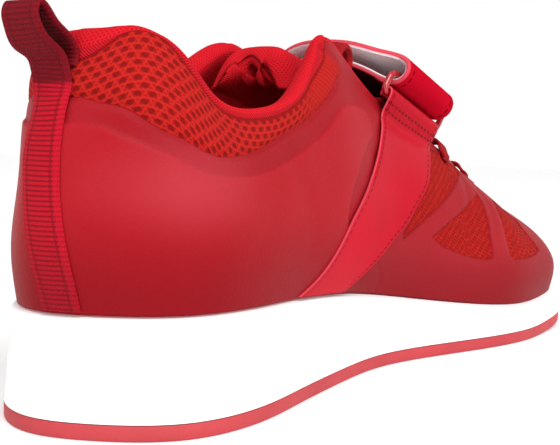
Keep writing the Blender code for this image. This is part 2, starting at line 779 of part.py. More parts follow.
def build_strap(look):
    """Strap doubled back on itself round the ring's upper bar."""
    rows = [
        wall_row(share, rear, front, STRAP_LIFT, STRAP_ACROSS)
        for share, rear, front in OUTER_ANCHOR
    ]
    rows += [
        free_row((rear, side, rear_up), (front, side, front_up), STRAP_ACROSS)
        for rear, front, side, rear_up, front_up in LOWER_LAYER
    ]
    rows += [
        bar_row(
            RING_HIGH_REAR,
            RING_HIGH_FRONT,
            STRAP_MARGIN,
            turn,
            BEND_RADIUS,
            STRAP_ACROSS,
            (0.0, 0.0, BEND_RISE),
        )
        for turn in BEND_TURNS
    ]
    rows += [
        free_row((rear, side, rear_up), (front, side, front_up), STRAP_ACROSS)
        for rear, front, side, rear_up, front_up in UPPER_LAYER
    ]
    rows += [
        wall_row(share, rear, front, STRAP_END_LIFT, STRAP_ACROSS)
        for share, rear, front in STRAP_END
    ]
    return build_ribbon("strap", smooth_rows(rows, STRAP_ROWS), STRAP_THICKNESS, look)


# Pull loop: base on the heel wall as share up the wall and run at the band's middle
LOOP_BASE = (
    (0.012, 7.5),
    (0.10, 6.3),
    (0.25, 4.2),
    (0.45, 2.6),
    (0.65, 2.4),
    (0.80, 3.0),
)
LOOP_HALF_WIDTH = 6.5
LOOP_THICKNESS = 1.2
LOOP_LIFT = 1.0
# Free loop, out to the back, over the top and down behind: outer-side station and height,
# inner-side station and height
LOOP_TURNS = (
    (5.4, 97.5, 7.5, 96.5),
    (4.6, 100.6, 6.8, 100.0),
    (3.4, 102.9, 5.6, 102.9),
    (0.0, 104.7, 2.9, 105.3),
    (-2.6, 107.3, -0.7, 108.0),
    (-4.0, 111.0, -2.8, 111.2),
    (-4.5, 114.3, -3.4, 114.3),
    (-3.2, 116.6, -2.1, 116.4),
    (-0.6, 115.4, 0.3, 114.9),
    (2.4, 112.3, 3.0, 111.7),
    (5.8, 109.4, 6.6, 109.0),
    (7.9, 106.6, 9.2, 106.2),
    (8.3, 103.6, 10.1, 103.2),
    (7.0, 100.9, 9.0, 100.5),
)
LOOP_OUTER_SIDE = 3.5
LOOP_INNER_SIDE = -9.5
LOOP_ROWS = 52
LOOP_ACROSS = 3


def build_pull_loop(look):
    """Webbing up the back of the heel that turns over in a free loop."""
    rows = [
        wall_row(share, run - LOOP_HALF_WIDTH, run + LOOP_HALF_WIDTH, LOOP_LIFT, LOOP_ACROSS)
        for share, run in LOOP_BASE
    ]
    rows += [
        free_row(
            (outer, LOOP_OUTER_SIDE, outer_up), (inner, LOOP_INNER_SIDE, inner_up), LOOP_ACROSS
        )
        for outer, outer_up, inner, inner_up in LOOP_TURNS
    ]
    return build_ribbon("pull_loop", smooth_rows(rows, LOOP_ROWS), LOOP_THICKNESS, look)


# Lace bars: station at the throat edge, height over the middle of the tongue, and how far
# down the wall the ends reach as a share of its height, inner side and outer side
LACE_BARS = (
    (216.0, 70.6, 0.92, 0.92),
    (193.5, 80.6, 0.92, 0.92),
    (170.0, 88.8, 1.0, 0.92),
    (147.5, 97.4, 1.0, 0.92),
)
LACE_WIDTH = 6.0
LACE_THICKNESS = 1.2
LACE_LIFT = 1.1
LACE_EDGE_RISE = 1.0
LACE_ROWS = 13
LACE_ACROSS = 3


def edge_run(station, inner_side):
    """Run whose section has its top edge at a station, on one side of the throat."""
    low, high = (125.0, 300.0) if inner_side else (372.0, 549.0)
    runs = np.linspace(low, high, 800)
    return runs[np.argmin(np.abs(UPPER_TABLE(runs)[:, 6] - station))]


def build_lace_bar(name, station, middle_height, tails, look):
    """One flat lace across the throat, its ends over the wall on both sides."""
    ends = []
    for inner_side, tail in zip((True, False), tails):
        run = edge_run(station, inner_side)
        shares = np.linspace(tail, 1.0, 3)[:-1] if tail < 1.0 else []
        turn = LACE_WIDTH / 2 if inner_side else -LACE_WIDTH / 2
        ends.append(
            [
                wall_row(share, run - turn, run + turn, LACE_LIFT, LACE_ACROSS)
                for share in shares
            ]
        )
        over_edge = np.array(wall_row(1.0, run - turn, run + turn, LACE_LIFT, LACE_ACROSS))
        ends[-1].append(over_edge + np.array([0.0, 0.0, LACE_EDGE_RISE]))
    middle = free_row(
        (station - LACE_WIDTH / 2, 0.0, middle_height + LACE_WIDTH * 0.2),
        (station + LACE_WIDTH / 2, 0.0, middle_height - LACE_WIDTH * 0.2),
        LACE_ACROSS,
    )
    rows = ends[0] + [middle] + ends[1][::-1]
    return build_ribbon(name, smooth_rows(rows, LACE_ROWS), LACE_THICKNESS, look)


# Small fabric loop beside the inner throat corner: station, side, height
THROAT_LOOP = (
    (121.5, -15.2, 108.4),
    (123.5, -15.0, 113.0),
    (127.0, -14.2, 115.4),
    (131.0, -13.4, 114.6),
    (132.6, -13.2, 111.4),
    (131.0, -13.8, 107.4),
)
THROAT_LOOP_WIDTH = 5.0


def build_throat_loop(look):
    """Fabric loop that stands beside the top of the throat."""
    rows = []
    for station, side, height in THROAT_LOOP:
        rows.append(
            free_row((station, side - 1.0, height), (station, side + 4.0, height + 0.8), 3)
        )
    return build_ribbon("throat_loop", smooth_rows(rows, 15), LACE_THICKNESS, look)


def clear_scene():
    for old in list(bpy.data.objects):
        bpy.data.objects.remove(old, do_unlink=True)


def main():
    clear_scene()
    rubber = material("red rubber", (0.42, 0.03, 0.035), 0.6)
    foam = material("white midsole", (0.86, 0.86, 0.86), 0.5)
    leather = material("dark red leather", (0.42, 0.015, 0.02), 0.45)
    lining = material("red lining", (0.55, 0.02, 0.025), 0.85)
    strap_leather = material("bright red strap leather", (0.55, 0.01, 0.02), 0.4)
    webbing = material("crimson webbing", (0.4, 0.01, 0.02), 0.8)
    gloss = material("glossy red wire", (0.5, 0.01, 0.02), 0.2)
    lace = material("red lace", (0.5, 0.015, 0.02), 0.8)
    build_outsole(rubber)
    build_midsole(foam)
    build_insole(lining)
    build_upper(leather)
    build_tongue(lining)
    build_inner_anchor(strap_leather)
    build_ring(gloss)
    build_strap(strap_leather)
    build_pull_loop(webbing)
    for number, (station, height, *tails) in enumerate(LACE_BARS, 1):
        build_lace_bar(f"lace_bar_{number}", station, height, tails, lace)
    build_throat_loop(lace)


main()
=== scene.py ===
"""Looks of the left weightlifting shoe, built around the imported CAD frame.

Sizes are millimetres in the shoe's own frame: a station runs along the shoe from the back of
the heel, a run follows the feather line where upper meets sole, a share climbs the wall.
"""
import math

import bmesh
import bpy
import numpy as np
from mathutils import Matrix, Vector


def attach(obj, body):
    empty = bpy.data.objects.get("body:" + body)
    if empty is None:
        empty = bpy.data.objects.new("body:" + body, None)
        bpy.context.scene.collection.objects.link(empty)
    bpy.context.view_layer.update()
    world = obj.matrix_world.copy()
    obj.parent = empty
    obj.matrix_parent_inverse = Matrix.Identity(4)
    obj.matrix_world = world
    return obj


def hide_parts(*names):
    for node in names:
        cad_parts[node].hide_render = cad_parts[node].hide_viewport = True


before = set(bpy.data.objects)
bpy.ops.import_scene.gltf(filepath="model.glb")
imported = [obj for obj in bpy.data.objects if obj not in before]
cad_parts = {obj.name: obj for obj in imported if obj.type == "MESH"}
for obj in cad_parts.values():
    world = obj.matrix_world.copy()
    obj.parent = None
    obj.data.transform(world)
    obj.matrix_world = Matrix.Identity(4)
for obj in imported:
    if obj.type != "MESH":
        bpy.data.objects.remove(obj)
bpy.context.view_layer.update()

# Driving sizes, millimetres
SHOE_LENGTH = 299.0
BALL_WIDTH = 103.7
HEEL_HEIGHT = 33.6
UPPER_WALL = 2.2
OUTSOLE_THICKNESS = 4.5
HEEL_SEAT_STATION = 40.0

# The pattern that the tables are drawn for
PATTERN_LENGTH = 299.0
PATTERN_BALL_WIDTH = 103.7
PATTERN_HEEL_HEIGHT = 33.6

LONG = SHOE_LENGTH / PATTERN_LENGTH
WIDE = BALL_WIDTH / PATTERN_BALL_WIDTH
TALL = HEEL_HEIGHT / PATTERN_HEEL_HEIGHT
METRE = 0.001
# Clearance between neighbours
GAP = 0.3

# Sole outline: station, inner half width, outer half width
OUTLINE = (
    (7, 19.7, 19.7),
    (24, 37.6, 32.8),
    (45, 42.3, 38.7),
    (75, 38.1, 40.0),
    (105, 32.7, 40.5),
    (135, 30.1, 42.5),
    (165, 36.0, 47.0),
    (195, 44.7, 52.5),
    (220, 48.7, 55.0),
    (245, 47.2, 53.0),
    (266, 42.7, 45.5),
    (284, 27.4, 31.0),
    (295, 12.8, 16.0),
)
TOE_TIP = (299.0, -5.1)
SPRING_START = 215.0
SPRING_LENGTH = 84.0
SPRING_RISE = 6.0
FEATHER_INSET = 4.5
RIM_INSET = 2.2
RIM_DROP = 1.0
# Feather line height: station, height
FEATHER_HEIGHT = (
    (-5, 33.6),
    (40, 33.6),
    (120, 28.6),
    (225, 15.2),
    (299, 20.4),
)

# Upper sections around the shoe. The wall starts at the feather line, swells to the belly,
# passes two shoulder points given as shares of the way in and up, and ends at the top edge.
# name, run, belly_out, belly_rise, in_1, up_1, in_2, up_2, top_station, top_side, top_height,
# top_wall, top_roll
UPPER_SECTIONS = (
    ("heel back", 5, 2.2, 20, -0.15, 0.52, 0.25, 0.80, 11.0, -4.5, 104.5, 10, 8),
    ("heel inner", 18, 1.8, 20, -0.02, 0.50, 0.30, 0.78, 16.0, -14.0, 107.2, 10, 5.5),
    ("tendon inner", 29, 1.6, 18, 0.08, 0.50, 0.38, 0.78, 22.5, -19.5, 110.6, 9, 2.5),
    ("quarter inner", 42, 1.5, 17, 0.10, 0.50, 0.45, 0.78, 33.0, -25.2, 104.6, 8, 2.0),
    ("ankle rear inner", 54, 1.5, 16, 0.10, 0.50, 0.45, 0.78, 42.5, -27.8, 93.6, 7, 2.4),
    ("ankle inner", 74, 1.5, 16, 0.08, 0.50, 0.42, 0.78, 61.0, -29.5, 89.2, 7, 2.6),
    ("waist inner", 96, 2.5, 20, -0.10, 0.48, 0.30, 0.78, 80.5, -28.6, 94.6, 7, 3.0),
    ("collar front inner", 112, 4.0, 21, -0.25, 0.46, 0.22, 0.78, 93.0, -25.2, 105.0, 6, 4.0),
    ("throat corner inner", 124, 4.8, 22, -0.35, 0.45, 0.20, 0.78, 102.8, -22.6, 115.3, 4, 2.4),
    ("instep inner", 142, 5.0, 22, -0.33, 0.45, 0.25, 0.78, 122.5, -20.3, 108.6, 3, 1.2),
    ("strap rear inner", 159, 4.0, 20, -0.15, 0.45, 0.32, 0.78, 144.5, -19.5, 96.2, 2.2, 0.8),
    ("strap inner", 180, 2.4, 17, 0.02, 0.46, 0.42, 0.78, 168.0, -19.0, 87.8, 2.2, 0.8),
    ("vamp inner", 208, 1.5, 15, 0.12, 0.48, 0.48, 0.78, 198.0, -17.9, 77.3, 2.2, 0.8),
    ("ball inner", 235, 1.5, 13, 0.12, 0.52, 0.44, 0.78, 217.0, -14.5, 69.8, 2.2, 0.8),
    ("toe inner", 268, 1.5, 12, 0.10, 0.44, 0.42, 0.70, 226.5, -8.0, 67.0, 2.2, 0.8),
    ("toe corner inner", 300, 1.5, 12, 0.08, 0.42, 0.40, 0.66, 230.0, -3.0, 66.0, 2.2, 0.8),
    ("toe tip", 340, 1.5, 12, 0.08, 0.44, 0.40, 0.66, 230.5, 0.5, 65.8, 2.2, 0.8),
    ("toe corner outer", 372, 1.5, 12, 0.09, 0.44, 0.41, 0.67, 229.5, 4.0, 66.0, 2.2, 0.8),
    ("toe outer", 405, 1.5, 12, 0.10, 0.46, 0.42, 0.69, 225.0, 9.5, 67.0, 2.2, 0.8),
    ("ball outer", 436, 1.5, 13, 0.12, 0.50, 0.45, 0.77, 214.0, 15.5, 70.5, 2.2, 0.8),
    ("vamp outer", 464, 1.5, 14, 0.12, 0.48, 0.50, 0.79, 193.0, 18.5, 79.0, 2.2, 0.8),
    ("strap outer", 497, 1.5, 16, 0.08, 0.48, 0.45, 0.80, 160.0, 19.5, 90.6, 2.2, 0.8),
    ("instep outer", 530, 1.5, 18, 0.05, 0.48, 0.40, 0.80, 127.0, 20.5, 106.0, 3, 1.2),
    ("throat corner outer", 549, 1.5, 18, 0.05, 0.48, 0.40, 0.80, 107.0, 22.3, 115.3, 4, 2.2),
    ("collar front outer", 563, 1.5, 18, 0.05, 0.48, 0.40, 0.80, 94.0, 25.8, 110.5, 6, 3.0),
    ("waist outer", 579, 1.5, 18, 0.08, 0.48, 0.40, 0.80, 80.0, 28.6, 101.0, 7, 2.5),
    ("ankle outer", 600, 1.8, 18, 0.10, 0.48, 0.42, 0.80, 60.0, 30.0, 91.0, 7, 2.4),
    ("ankle rear outer", 619, 2.2, 17, 0.12, 0.48, 0.42, 0.80, 43.5, 28.3, 93.5, 7, 2.2),
    ("quarter outer", 630, 2.4, 16, 0.14, 0.50, 0.42, 0.80, 33.0, 25.2, 102.5, 8, 2.0),
    ("tendon outer", 644, 1.8, 15, 0.20, 0.50, 0.45, 0.80, 22.0, 18.0, 108.5, 9, 2.5),
    ("heel outer", 657, 1.6, 16, 0.10, 0.50, 0.38, 0.80, 14.0, 8.0, 106.0, 10, 5.5),
)
BELLY_CARRY = 0.6
COLLAR_PAD_DEPTH = 34.0


# Curves

class ClosedSpline:
    """Smooth closed curve or table of rows, each row at its own parameter."""

    def __init__(self, at, rows, period):
        self.at = np.asarray(at, float)
        self.rows = np.asarray(rows, float)
        self.period = period
        count = len(self.at)
        self.step = np.append(np.diff(self.at), self.at[0] + period - self.at[-1])
        system = np.zeros((count, count))
        target = np.zeros_like(self.rows)
        for i in range(count):
            before = self.step[i - 1]
            after = self.step[i]
            following = (i + 1) % count
            system[i, (i - 1) % count] += after
            system[i, i] += 2 * (before + after)
            system[i, following] += before
            rise_in = (self.rows[i] - self.rows[i - 1]) / before
            rise_out = (self.rows[following] - self.rows[i]) / after
            target[i] = 3 * (after * rise_in + before * rise_out)
        self.slope = np.linalg.solve(system, target)

    def __call__(self, where):
        where = np.asarray(where, float)
        where = (where - self.at[0]) % self.period + self.at[0]
        i = np.clip(np.searchsorted(self.at, where, side="right") - 1, 0, len(self.at) - 1)
        j = (i + 1) % len(self.at)
        step = self.step[i]
        u = (where - self.at[i]) / step
        return hermite(u, step, self.rows[i], self.slope[i], self.rows[j], self.slope[j])


def hermite(u, step, start, start_slope, end, end_slope):
    """Point at share u of a cubic piece, for a scalar u or an array of them."""
    u = np.asarray(u, float)[..., None]
    step = np.asarray(step, float)[..., None]
    return (
        (1 + 2 * u) * (1 - u) ** 2 * start
        + u * (1 - u) ** 2 * step * start_slope
        + u * u * (3 - 2 * u) * end
        + u * u * (u - 1) * step * end_slope
    )


class OpenSpline:
    """Smooth open curve through rows, with free ends."""

    def __init__(self, at, rows):
        self.at = np.asarray(at, float)
        self.rows = np.asarray(rows, float)
        if self.rows.ndim == 1:
            self.rows = self.rows[:, None]
        count = len(self.at)
        step = np.diff(self.at)
        system = np.zeros((count, count))
        target = np.zeros_like(self.rows)
        system[0, 0] = system[-1, -1] = 2
        system[0, 1] = system[-1, -2] = 1
        target[0] = 3 * (self.rows[1] - self.rows[0]) / step[0]
        target[-1] = 3 * (self.rows[-1] - self.rows[-2]) / step[-1]
        for i in range(1, count - 1):
            system[i, i - 1] = step[i]
            system[i, i] = 2 * (step[i - 1] + step[i])
            system[i, i + 1] = step[i - 1]
            rise_in = (self.rows[i] - self.rows[i - 1]) / step[i - 1]
            rise_out = (self.rows[i + 1] - self.rows[i]) / step[i]
            target[i] = 3 * (step[i] * rise_in + step[i - 1] * rise_out)
        self.slope = np.linalg.solve(system, target)
        self.step = step

    def __call__(self, where):
        where = np.clip(np.asarray(where, float), self.at[0], self.at[-1])
        i = np.clip(np.searchsorted(self.at, where, side="right") - 1, 0, len(self.at) - 2)
        u = (where - self.at[i]) / self.step[i]
        return hermite(
            u, self.step[i], self.rows[i], self.slope[i], self.rows[i + 1], self.slope[i + 1]
        )


def path_lengths(points):
    """Length along a path at each of its points."""
    steps = np.linalg.norm(np.diff(points, axis=0), axis=1)
    return np.concatenate([[0.0], np.cumsum(steps)])


def row_lengths(grid):
    """Length along each row of a grid at each of its points."""
    steps = np.linalg.norm(np.diff(grid, axis=1), axis=2)
    return np.concatenate([np.zeros((len(grid), 1)), np.cumsum(steps, 1)], 1)


def chord_spline(points):
    """Open spline through points, its parameter the share of their chord length."""
    points = np.asarray(points, float)
    at = path_lengths(points)
    return OpenSpline(at / at[-1], points)


# Sole plan

def outline_spline():
    """Sole outline from the heel's back along the inner side, over the toe and back."""
    inner = [(s * LONG, -w * WIDE) for s, w, _ in OUTLINE]
    outer = [(s * LONG, w * WIDE) for s, _, w in reversed(OUTLINE)]
    tip = (TOE_TIP[0] * LONG, TOE_TIP[1] * WIDE)
    rows = np.array([(0.0, 0.0)] + inner + [tip] + outer)
    at = path_lengths(np.vstack([rows, rows[:1]]))
    return ClosedSpline(at[:-1], rows, at[-1])


def outward(curve):
    """Unit normals that point out of a closed plan curve."""
    tangent = np.roll(curve, -1, 0) - np.roll(curve, 1, 0)
    tangent /= np.linalg.norm(tangent, axis=1)[:, None]
    return np.stack([tangent[:, 1], -tangent[:, 0]], 1)


def inset(curve, distance):
    """Closed plan curve moved in by a distance."""
    return curve - outward(curve) * distance


PLAN_POINTS = 1440
PLAN_SPLINE = outline_spline()
PLAN = PLAN_SPLINE(np.linspace(0, PLAN_SPLINE.period, PLAN_POINTS, endpoint=False))
FEATHER_PLAN = inset(PLAN, FEATHER_INSET)
FEATHER_NORMAL = outward(FEATHER_PLAN)
FEATHER_RUN = path_lengths(np.vstack([FEATHER_PLAN, FEATHER_PLAN[:1]]))
FEATHER_PERIOD = FEATHER_RUN[-1]
FEATHER_SPLINE = OpenSpline(
    [s * LONG for s, _ in FEATHER_HEIGHT], [h * TALL for _, h in FEATHER_HEIGHT]
)


def feather_height(station):
    """Height of the line where the upper meets the sole."""
    return FEATHER_SPLINE(station)[..., 0]


def spring(station):
    """Height of the outsole's underside."""
    share = np.maximum(0.0, np.asarray(station) - SPRING_START * LONG) / (SPRING_LENGTH * LONG)
    return SPRING_RISE * share ** 2


def plan_at(run, distance):
    """Plan points at runs along the feather line, moved out by distance."""
    run = np.asarray(run, float) % FEATHER_PERIOD
    closed = np.vstack([FEATHER_PLAN, FEATHER_PLAN[:1]])
    normals = np.vstack([FEATHER_NORMAL, FEATHER_NORMAL[:1]])
    point = np.stack([np.interp(run, FEATHER_RUN, closed[:, k]) for k in (0, 1)], -1)
    normal = np.stack([np.interp(run, FEATHER_RUN, normals[:, k]) for k in (0, 1)], -1)
    normal /= np.linalg.norm(normal, axis=-1, keepdims=True)
    return point + normal * distance, normal


# Upper surface

# What each number of a section after its run is scaled by
SECTION_SCALE = (1, TALL, 1, 1, 1, 1, LONG, WIDE, TALL, 1, 1)
TOP_STATION = 6
TOP_WALL = 9
TOP_ROLL = 10
UPPER_TABLE = ClosedSpline(
    [row[1] * LONG for row in UPPER_SECTIONS],
    [np.multiply(row[2:], SECTION_SCALE) for row in UPPER_SECTIONS],
    FEATHER_PERIOD,
)


def upper_section(run):
    """Smooth curve of the outer wall at one run, from feather (0) to top edge (1)."""
    row = UPPER_TABLE(run)
    belly_out, belly_rise, in_1, up_1, in_2, up_2 = row[:6]
    top = row[6:9]
    plan, normal = plan_at(run, 0.0)
    foot = np.array([plan[0], plan[1], feather_height(plan[0])])
    away = np.array([normal[0], normal[1], 0.0])
    points = [foot, foot + away * belly_out + np.array([0, 0, belly_rise])]
    for share_in, share_up in ((in_1, up_1), (in_2, up_2)):
        point = foot + (top - foot) * np.array([share_in, share_in, share_up])
        carry = belly_out * BELLY_CARRY * (1 - min(max(share_in, 0.0), 1.0))
        points.append(point + away * carry)
    points.append(top)
    return chord_spline(points)


def upper_grid(runs, shares):
    """Points of the outer wall, one row of shares for each run."""
    return np.array([upper_section(run)(shares) for run in runs])


def grid_normals(grid):
    """Outward unit normals of a grid that closes around its first axis."""
    around = np.roll(grid, -1, 0) - np.roll(grid, 1, 0)
    upward = np.gradient(grid, axis=1)
    normal = np.cross(around, upward)
    return normal / np.linalg.norm(normal, axis=2)[:, :, None]


def smooth_step(x):
    """0 below 0, 1 above 1, smooth between."""
    x = np.clip(x, 0, 1)
    return x * x * (3 - 2 * x)


def place_all(points):
    """Array of shoe millimetres to world metres."""
    return (np.asarray(points, float) - (HEEL_SEAT_STATION, 0.0, 0.0)) * METRE


def linked(name, data):
    """New object of the scene that holds the given data."""
    made = bpy.data.objects.new(name, data)
    bpy.context.scene.collection.objects.link(made)
    return made


# Shader building
ROOT_THREE = 1.732


class Shader:
    """A material whose Principled inputs are fed from small node expressions."""

    def __init__(self, name):
        self.material = bpy.data.materials.new(name)
        self.material.use_nodes = True
        self.tree = self.material.node_tree
        self.principled = self.tree.nodes["Principled BSDF"]

    def node(self, kind, **settings):
        made = self.tree.nodes.new(kind)
        for key, value in settings.items():
            setattr(made, key, value)
        return made

    def feed(self, socket, value):
        if isinstance(value, bpy.types.NodeSocket):
            self.tree.links.new(value, socket)
        elif isinstance(value, tuple) and len(value) == 3 and socket.type == "RGBA":
            socket.default_value = (*value, 1.0)
        else:
            socket.default_value = value

    def set(self, name, value):
        self.feed(self.principled.inputs[name], value)

    def math(self, operation, a, b=0.0):
        made = self.node("ShaderNodeMath", operation=operation)
        self.feed(made.inputs[0], a)
        self.feed(made.inputs[1], b)
        return made.outputs[0]

    def add(self, a, b):
        return self.math("ADD", a, b)

    def times(self, a, b):
        return self.math("MULTIPLY", a, b)

    def less(self, a, b):
        return self.math("SUBTRACT", a, b)

    def step(self, value, low, high):
        """0 below low, 1 above high, smooth between."""
        made = self.node("ShaderNodeMapRange", interpolation_type="SMOOTHSTEP")
        self.feed(made.inputs["Value"], value)
        made.inputs["From Min"].default_value = low
        made.inputs["From Max"].default_value = high
        return made.outputs[0]

    def line(self, value, at, wide, narrow):
        """1 where value is at a number, 0 from wide away from it on."""
        return self.step(self.math("ABSOLUTE", self.less(value, at)), wide, narrow)

    def larger(self, a, b):
        return self.math("MAXIMUM", a, b)

    def mix(self, share, a, b):
        """Colour a at share 0, colour b at share 1."""
        made = self.node("ShaderNodeMix", data_type="RGBA")
        self.feed(made.inputs[0], share)
        self.feed(made.inputs[6], a)
        self.feed(made.inputs[7], b)
        return made.outputs[2]

    def blend(self, share, a, b):
        """Number a at share 0, number b at share 1."""
        made = self.node("ShaderNodeMix", data_type="FLOAT")
        self.feed(made.inputs[0], share)
        self.feed(made.inputs[2], a)
        self.feed(made.inputs[3], b)
        return made.outputs[0]

    def attribute(self, name):
        return self.node("ShaderNodeAttribute", attribute_name=name).outputs["Fac"]

    def position(self):
        return self.node("ShaderNodeTexCoord").outputs["Object"]

    def uv(self):
        """Millimetres along and across the piece."""
        parts = self.node("ShaderNodeSeparateXYZ")
        self.feed(parts.inputs[0], self.node("ShaderNodeTexCoord").outputs["UV"])
        return parts.outputs[0], parts.outputs[1]

    def pattern(self, kind, **inputs):
        """Texture node over the shoe's own coordinates."""
        made = self.node(kind)
        self.feed(made.inputs["Vector"], self.position())
        for key, value in inputs.items():
            made.inputs[key].default_value = value
        return made

    def noise(self, scale, detail=2.0):
        return self.pattern("ShaderNodeTexNoise", Scale=scale, Detail=detail).outputs["Fac"]

    def cells(self, scale):
        return self.pattern("ShaderNodeTexVoronoi", Scale=scale).outputs["Distance"]

    def dots(self, u, v, pitch_u, pitch_v):
        """Distance from the centre of the nearest dot of a staggered grid, 0 to about 0.7."""
        row = self.math("DIVIDE", v, pitch_v)
        odd = self.math("MODULO", self.math("ABSOLUTE", self.math("FLOOR", row)), 2.0)
        column = self.add(self.math("DIVIDE", u, pitch_u), self.times(odd, 0.5))
        x = self.less(self.math("FRACT", column), 0.5)
        y = self.less(self.math("FRACT", row), 0.5)
        x = self.times(x, pitch_u / pitch_v)
        square = self.add(self.times(x, x), self.times(y, y))
        return self.math("SQRT", square)

    def hexagons(self, u, v, pitch, squash):
        """Distance from the centre of the nearest cell of a honeycomb, 0 to 0.5 at its rim."""
        y = self.math("DIVIDE", v, pitch * squash * ROOT_THREE)
        x = self.math("DIVIDE", u, pitch)
        gaps = []
        for shift in (0.0, 0.5):
            dx = self.less(self.math("FRACT", self.add(x, shift)), 0.5)
            dy = self.less(self.math("FRACT", self.add(y, shift)), 0.5)
            across = self.math("ABSOLUTE", dx)
            along = self.math("ABSOLUTE", self.times(dy, ROOT_THREE))
            slant = self.add(self.times(across, 0.5), self.times(along, ROOT_THREE / 2))
            gaps.append(self.larger(across, slant))
        return self.math("MINIMUM", gaps[0], gaps[1])

    def wave(self, value, period, share=0.0):
        """Sine from -1 to 1 of a length."""
        turned = self.add(self.times(value, 2 * math.pi / period), share)
        return self.math("SINE", turned)

    def bump(self, height, strength, distance=0.001):
        made = self.node("ShaderNodeBump")
        made.inputs["Strength"].default_value = strength
        made.inputs["Distance"].default_value = distance
        self.feed(made.inputs["Height"], height)
        self.set("Normal", made.outputs[0])


def darker(colour, share):
    return tuple(channel * share for channel in colour)


# Colours, linear
LEATHER_RED = (0.335, 0.006, 0.012)
LEATHER_DUSTY_AND_HIGHLIGHT = (0.50, 0.055, 0.075)
LEATHER_DEEP = (0.28, 0.004, 0.009)
LEATHER_PAINTED_SHADE = (0.20, 0.002, 0.006)
PANEL_RED = (0.37, 0.006, 0.012)
MESH_RED = (0.47, 0.013, 0.010)
MESH_HOLE = (0.21, 0.004, 0.004)
FRONT_MESH_RED = (0.46, 0.012, 0.008)
FRONT_MESH_DEEP = (0.25, 0.005, 0.004)
PAINTED_CAVITY_SHADE = (0.03, 0.001, 0.002)
LINING_RED = (0.60, 0.009, 0.018)
STRAP_RED = (0.52, 0.004, 0.018)
STRAP_EDGE_HIGHLIGHT = (0.64, 0.07, 0.10)
STRAP_UNDER_PAINTED_SHADE = (0.035, 0.003, 0.004)
FLEECE = (0.95, 0.84, 0.86)
WEBBING_RED = (0.52, 0.004, 0.018)
WEBBING_PAINTED_SHADE = (0.10, 0.002, 0.006)
WEBBING_LIGHT = (0.56, 0.006, 0.022)
RING_RED = (0.42, 0.004, 0.010)
LACE_RED = (0.48, 0.010, 0.016)
MIDSOLE_WHITE = (0.90, 0.90, 0.90)
MIDSOLE_SOILED = (0.84, 0.83, 0.83)
OUTSOLE_RED = (0.48, 0.036, 0.044)
OUTSOLE_WORN = (0.42, 0.030, 0.037)
FOOTBED_DARK = (0.05, 0.002, 0.003)
FOOTBED_LIGHT = (0.12, 0.004, 0.006)
FLOOR_WHITE = (0.86, 0.86, 0.86)
FLOOR_SHADE = (0.84, 0.84, 0.85)

# Panels on the upper: run and share of each corner, inner side
COLLAR_EDGE = (
    (5.0, 0.815), (11.4, 0.811), (15.3, 0.792), (20, 0.761), (25.8, 0.723), (29.6, 0.692),
    (35.3, 0.66), (41, 0.66), (46.7, 0.673), (52.5, 0.698), (59.1, 0.742), (64.9, 0.774),
    (72.5, 0.811), (80.1, 0.843), (88.7, 0.868), (103, 0.855), (109.7, 0.843),
    (116.4, 0.824), (121.1, 0.824), (124, 0.836), (128.8, 0.868), (129.7, 0.893),
    (128.8, 0.918), (126.9, 0.937), (124.9, 0.95), (121.0, 1.0),
)
PANEL_EDGE = (
    (4.0, 0.70), (10.5, 0.711), (14.3, 0.704), (19.1, 0.679), (23.8, 0.635), (29.6, 0.597),
    (35.3, 0.579), (40.1, 0.572), (45.8, 0.572), (52.5, 0.604), (61, 0.648), (71.5, 0.679),
    (83, 0.711), (95.4, 0.736), (106.8, 0.736), (114.5, 0.73), (120.2, 0.736),
    (124.9, 0.736), (136.4, 0.767), (144, 0.792), (145, 0.742), (139.3, 0.642),
    (130.7, 0.528), (124.9, 0.434), (122.1, 0.365), (121.1, 0.308),
)
LINING_SEAM = (
    (0, 0.93), (12.4, 0.955), (19, 0.98), (25, 1.0), (34, 1.0), (38.5, 0.985),
    (43.9, 0.965), (51.5, 0.96), (60.1, 0.965), (79.2, 0.965), (94.4, 0.97), (102.1, 0.97),
    (109.7, 0.969), (115.4, 0.95), (120.2, 0.943), (123, 0.95), (127, 0.99), (131, 1.02),
)
WINDOWS = (
    (
        (218.4, 0.962), (215.6, 0.887), (209.8, 0.818), (203.2, 0.736), (197.4, 0.654),
        (192.7, 0.597), (184.1, 0.503), (174.5, 0.409), (164.1, 0.308), (164.1, 0.333),
        (169.8, 0.421), (176.5, 0.553), (182.2, 0.679), (186, 0.818), (189.8, 0.937),
    ),
    (
        (220.3, 0.723), (182.2, 0.358), (186.9, 0.314), (201.3, 0.283), (213.7, 0.277),
        (217.5, 0.296), (218.4, 0.421), (220.3, 0.547), (221.3, 0.667),
    ),
    (
        (241.3, 0.742), (234.6, 0.654), (231.8, 0.535), (229.9, 0.415), (229.9, 0.314),
        (231.8, 0.283), (240.4, 0.283), (256.6, 0.289), (264.2, 0.302), (262.3, 0.39),
        (260.4, 0.478), (267.1, 0.535),
    ),
)
# How far a window's edge lies outside its curve
WINDOW_GROWTH = 0.2
# Shares above and below the wall along which the collar's and the panel's outlines close
COLLAR_LID = 1.6
PANEL_LID = -0.6
# Where both sides' areas join behind the heel: half the run, and the share they reach to
COLLAR_JOIN = (6.0, 0.815)
PANEL_JOIN = (5.0, 0.70)
WELL_INSIDE = 12.0
WELL_OUTSIDE = -30.0
VAMP_SEAM = ((146.9, 0.17), (151.7, 0.113), (152.6, 0.05), (152.6, 0.01))
# Soft creases where the foot bends: run and share of each end, inner side, depth and width
CREASES = (
    ((205, 0.50), (214, 0.93), 0.35, 2.6),
    ((222, 0.42), (226, 0.80), 0.30, 2.2),
    ((150, 0.30), (146, 0.62), 0.25, 3.0),
    ((100, 0.30), (90, 0.66), 0.35, 5.0),
    ((62, 0.22), (80, 0.55), 0.30, 6.0),
)
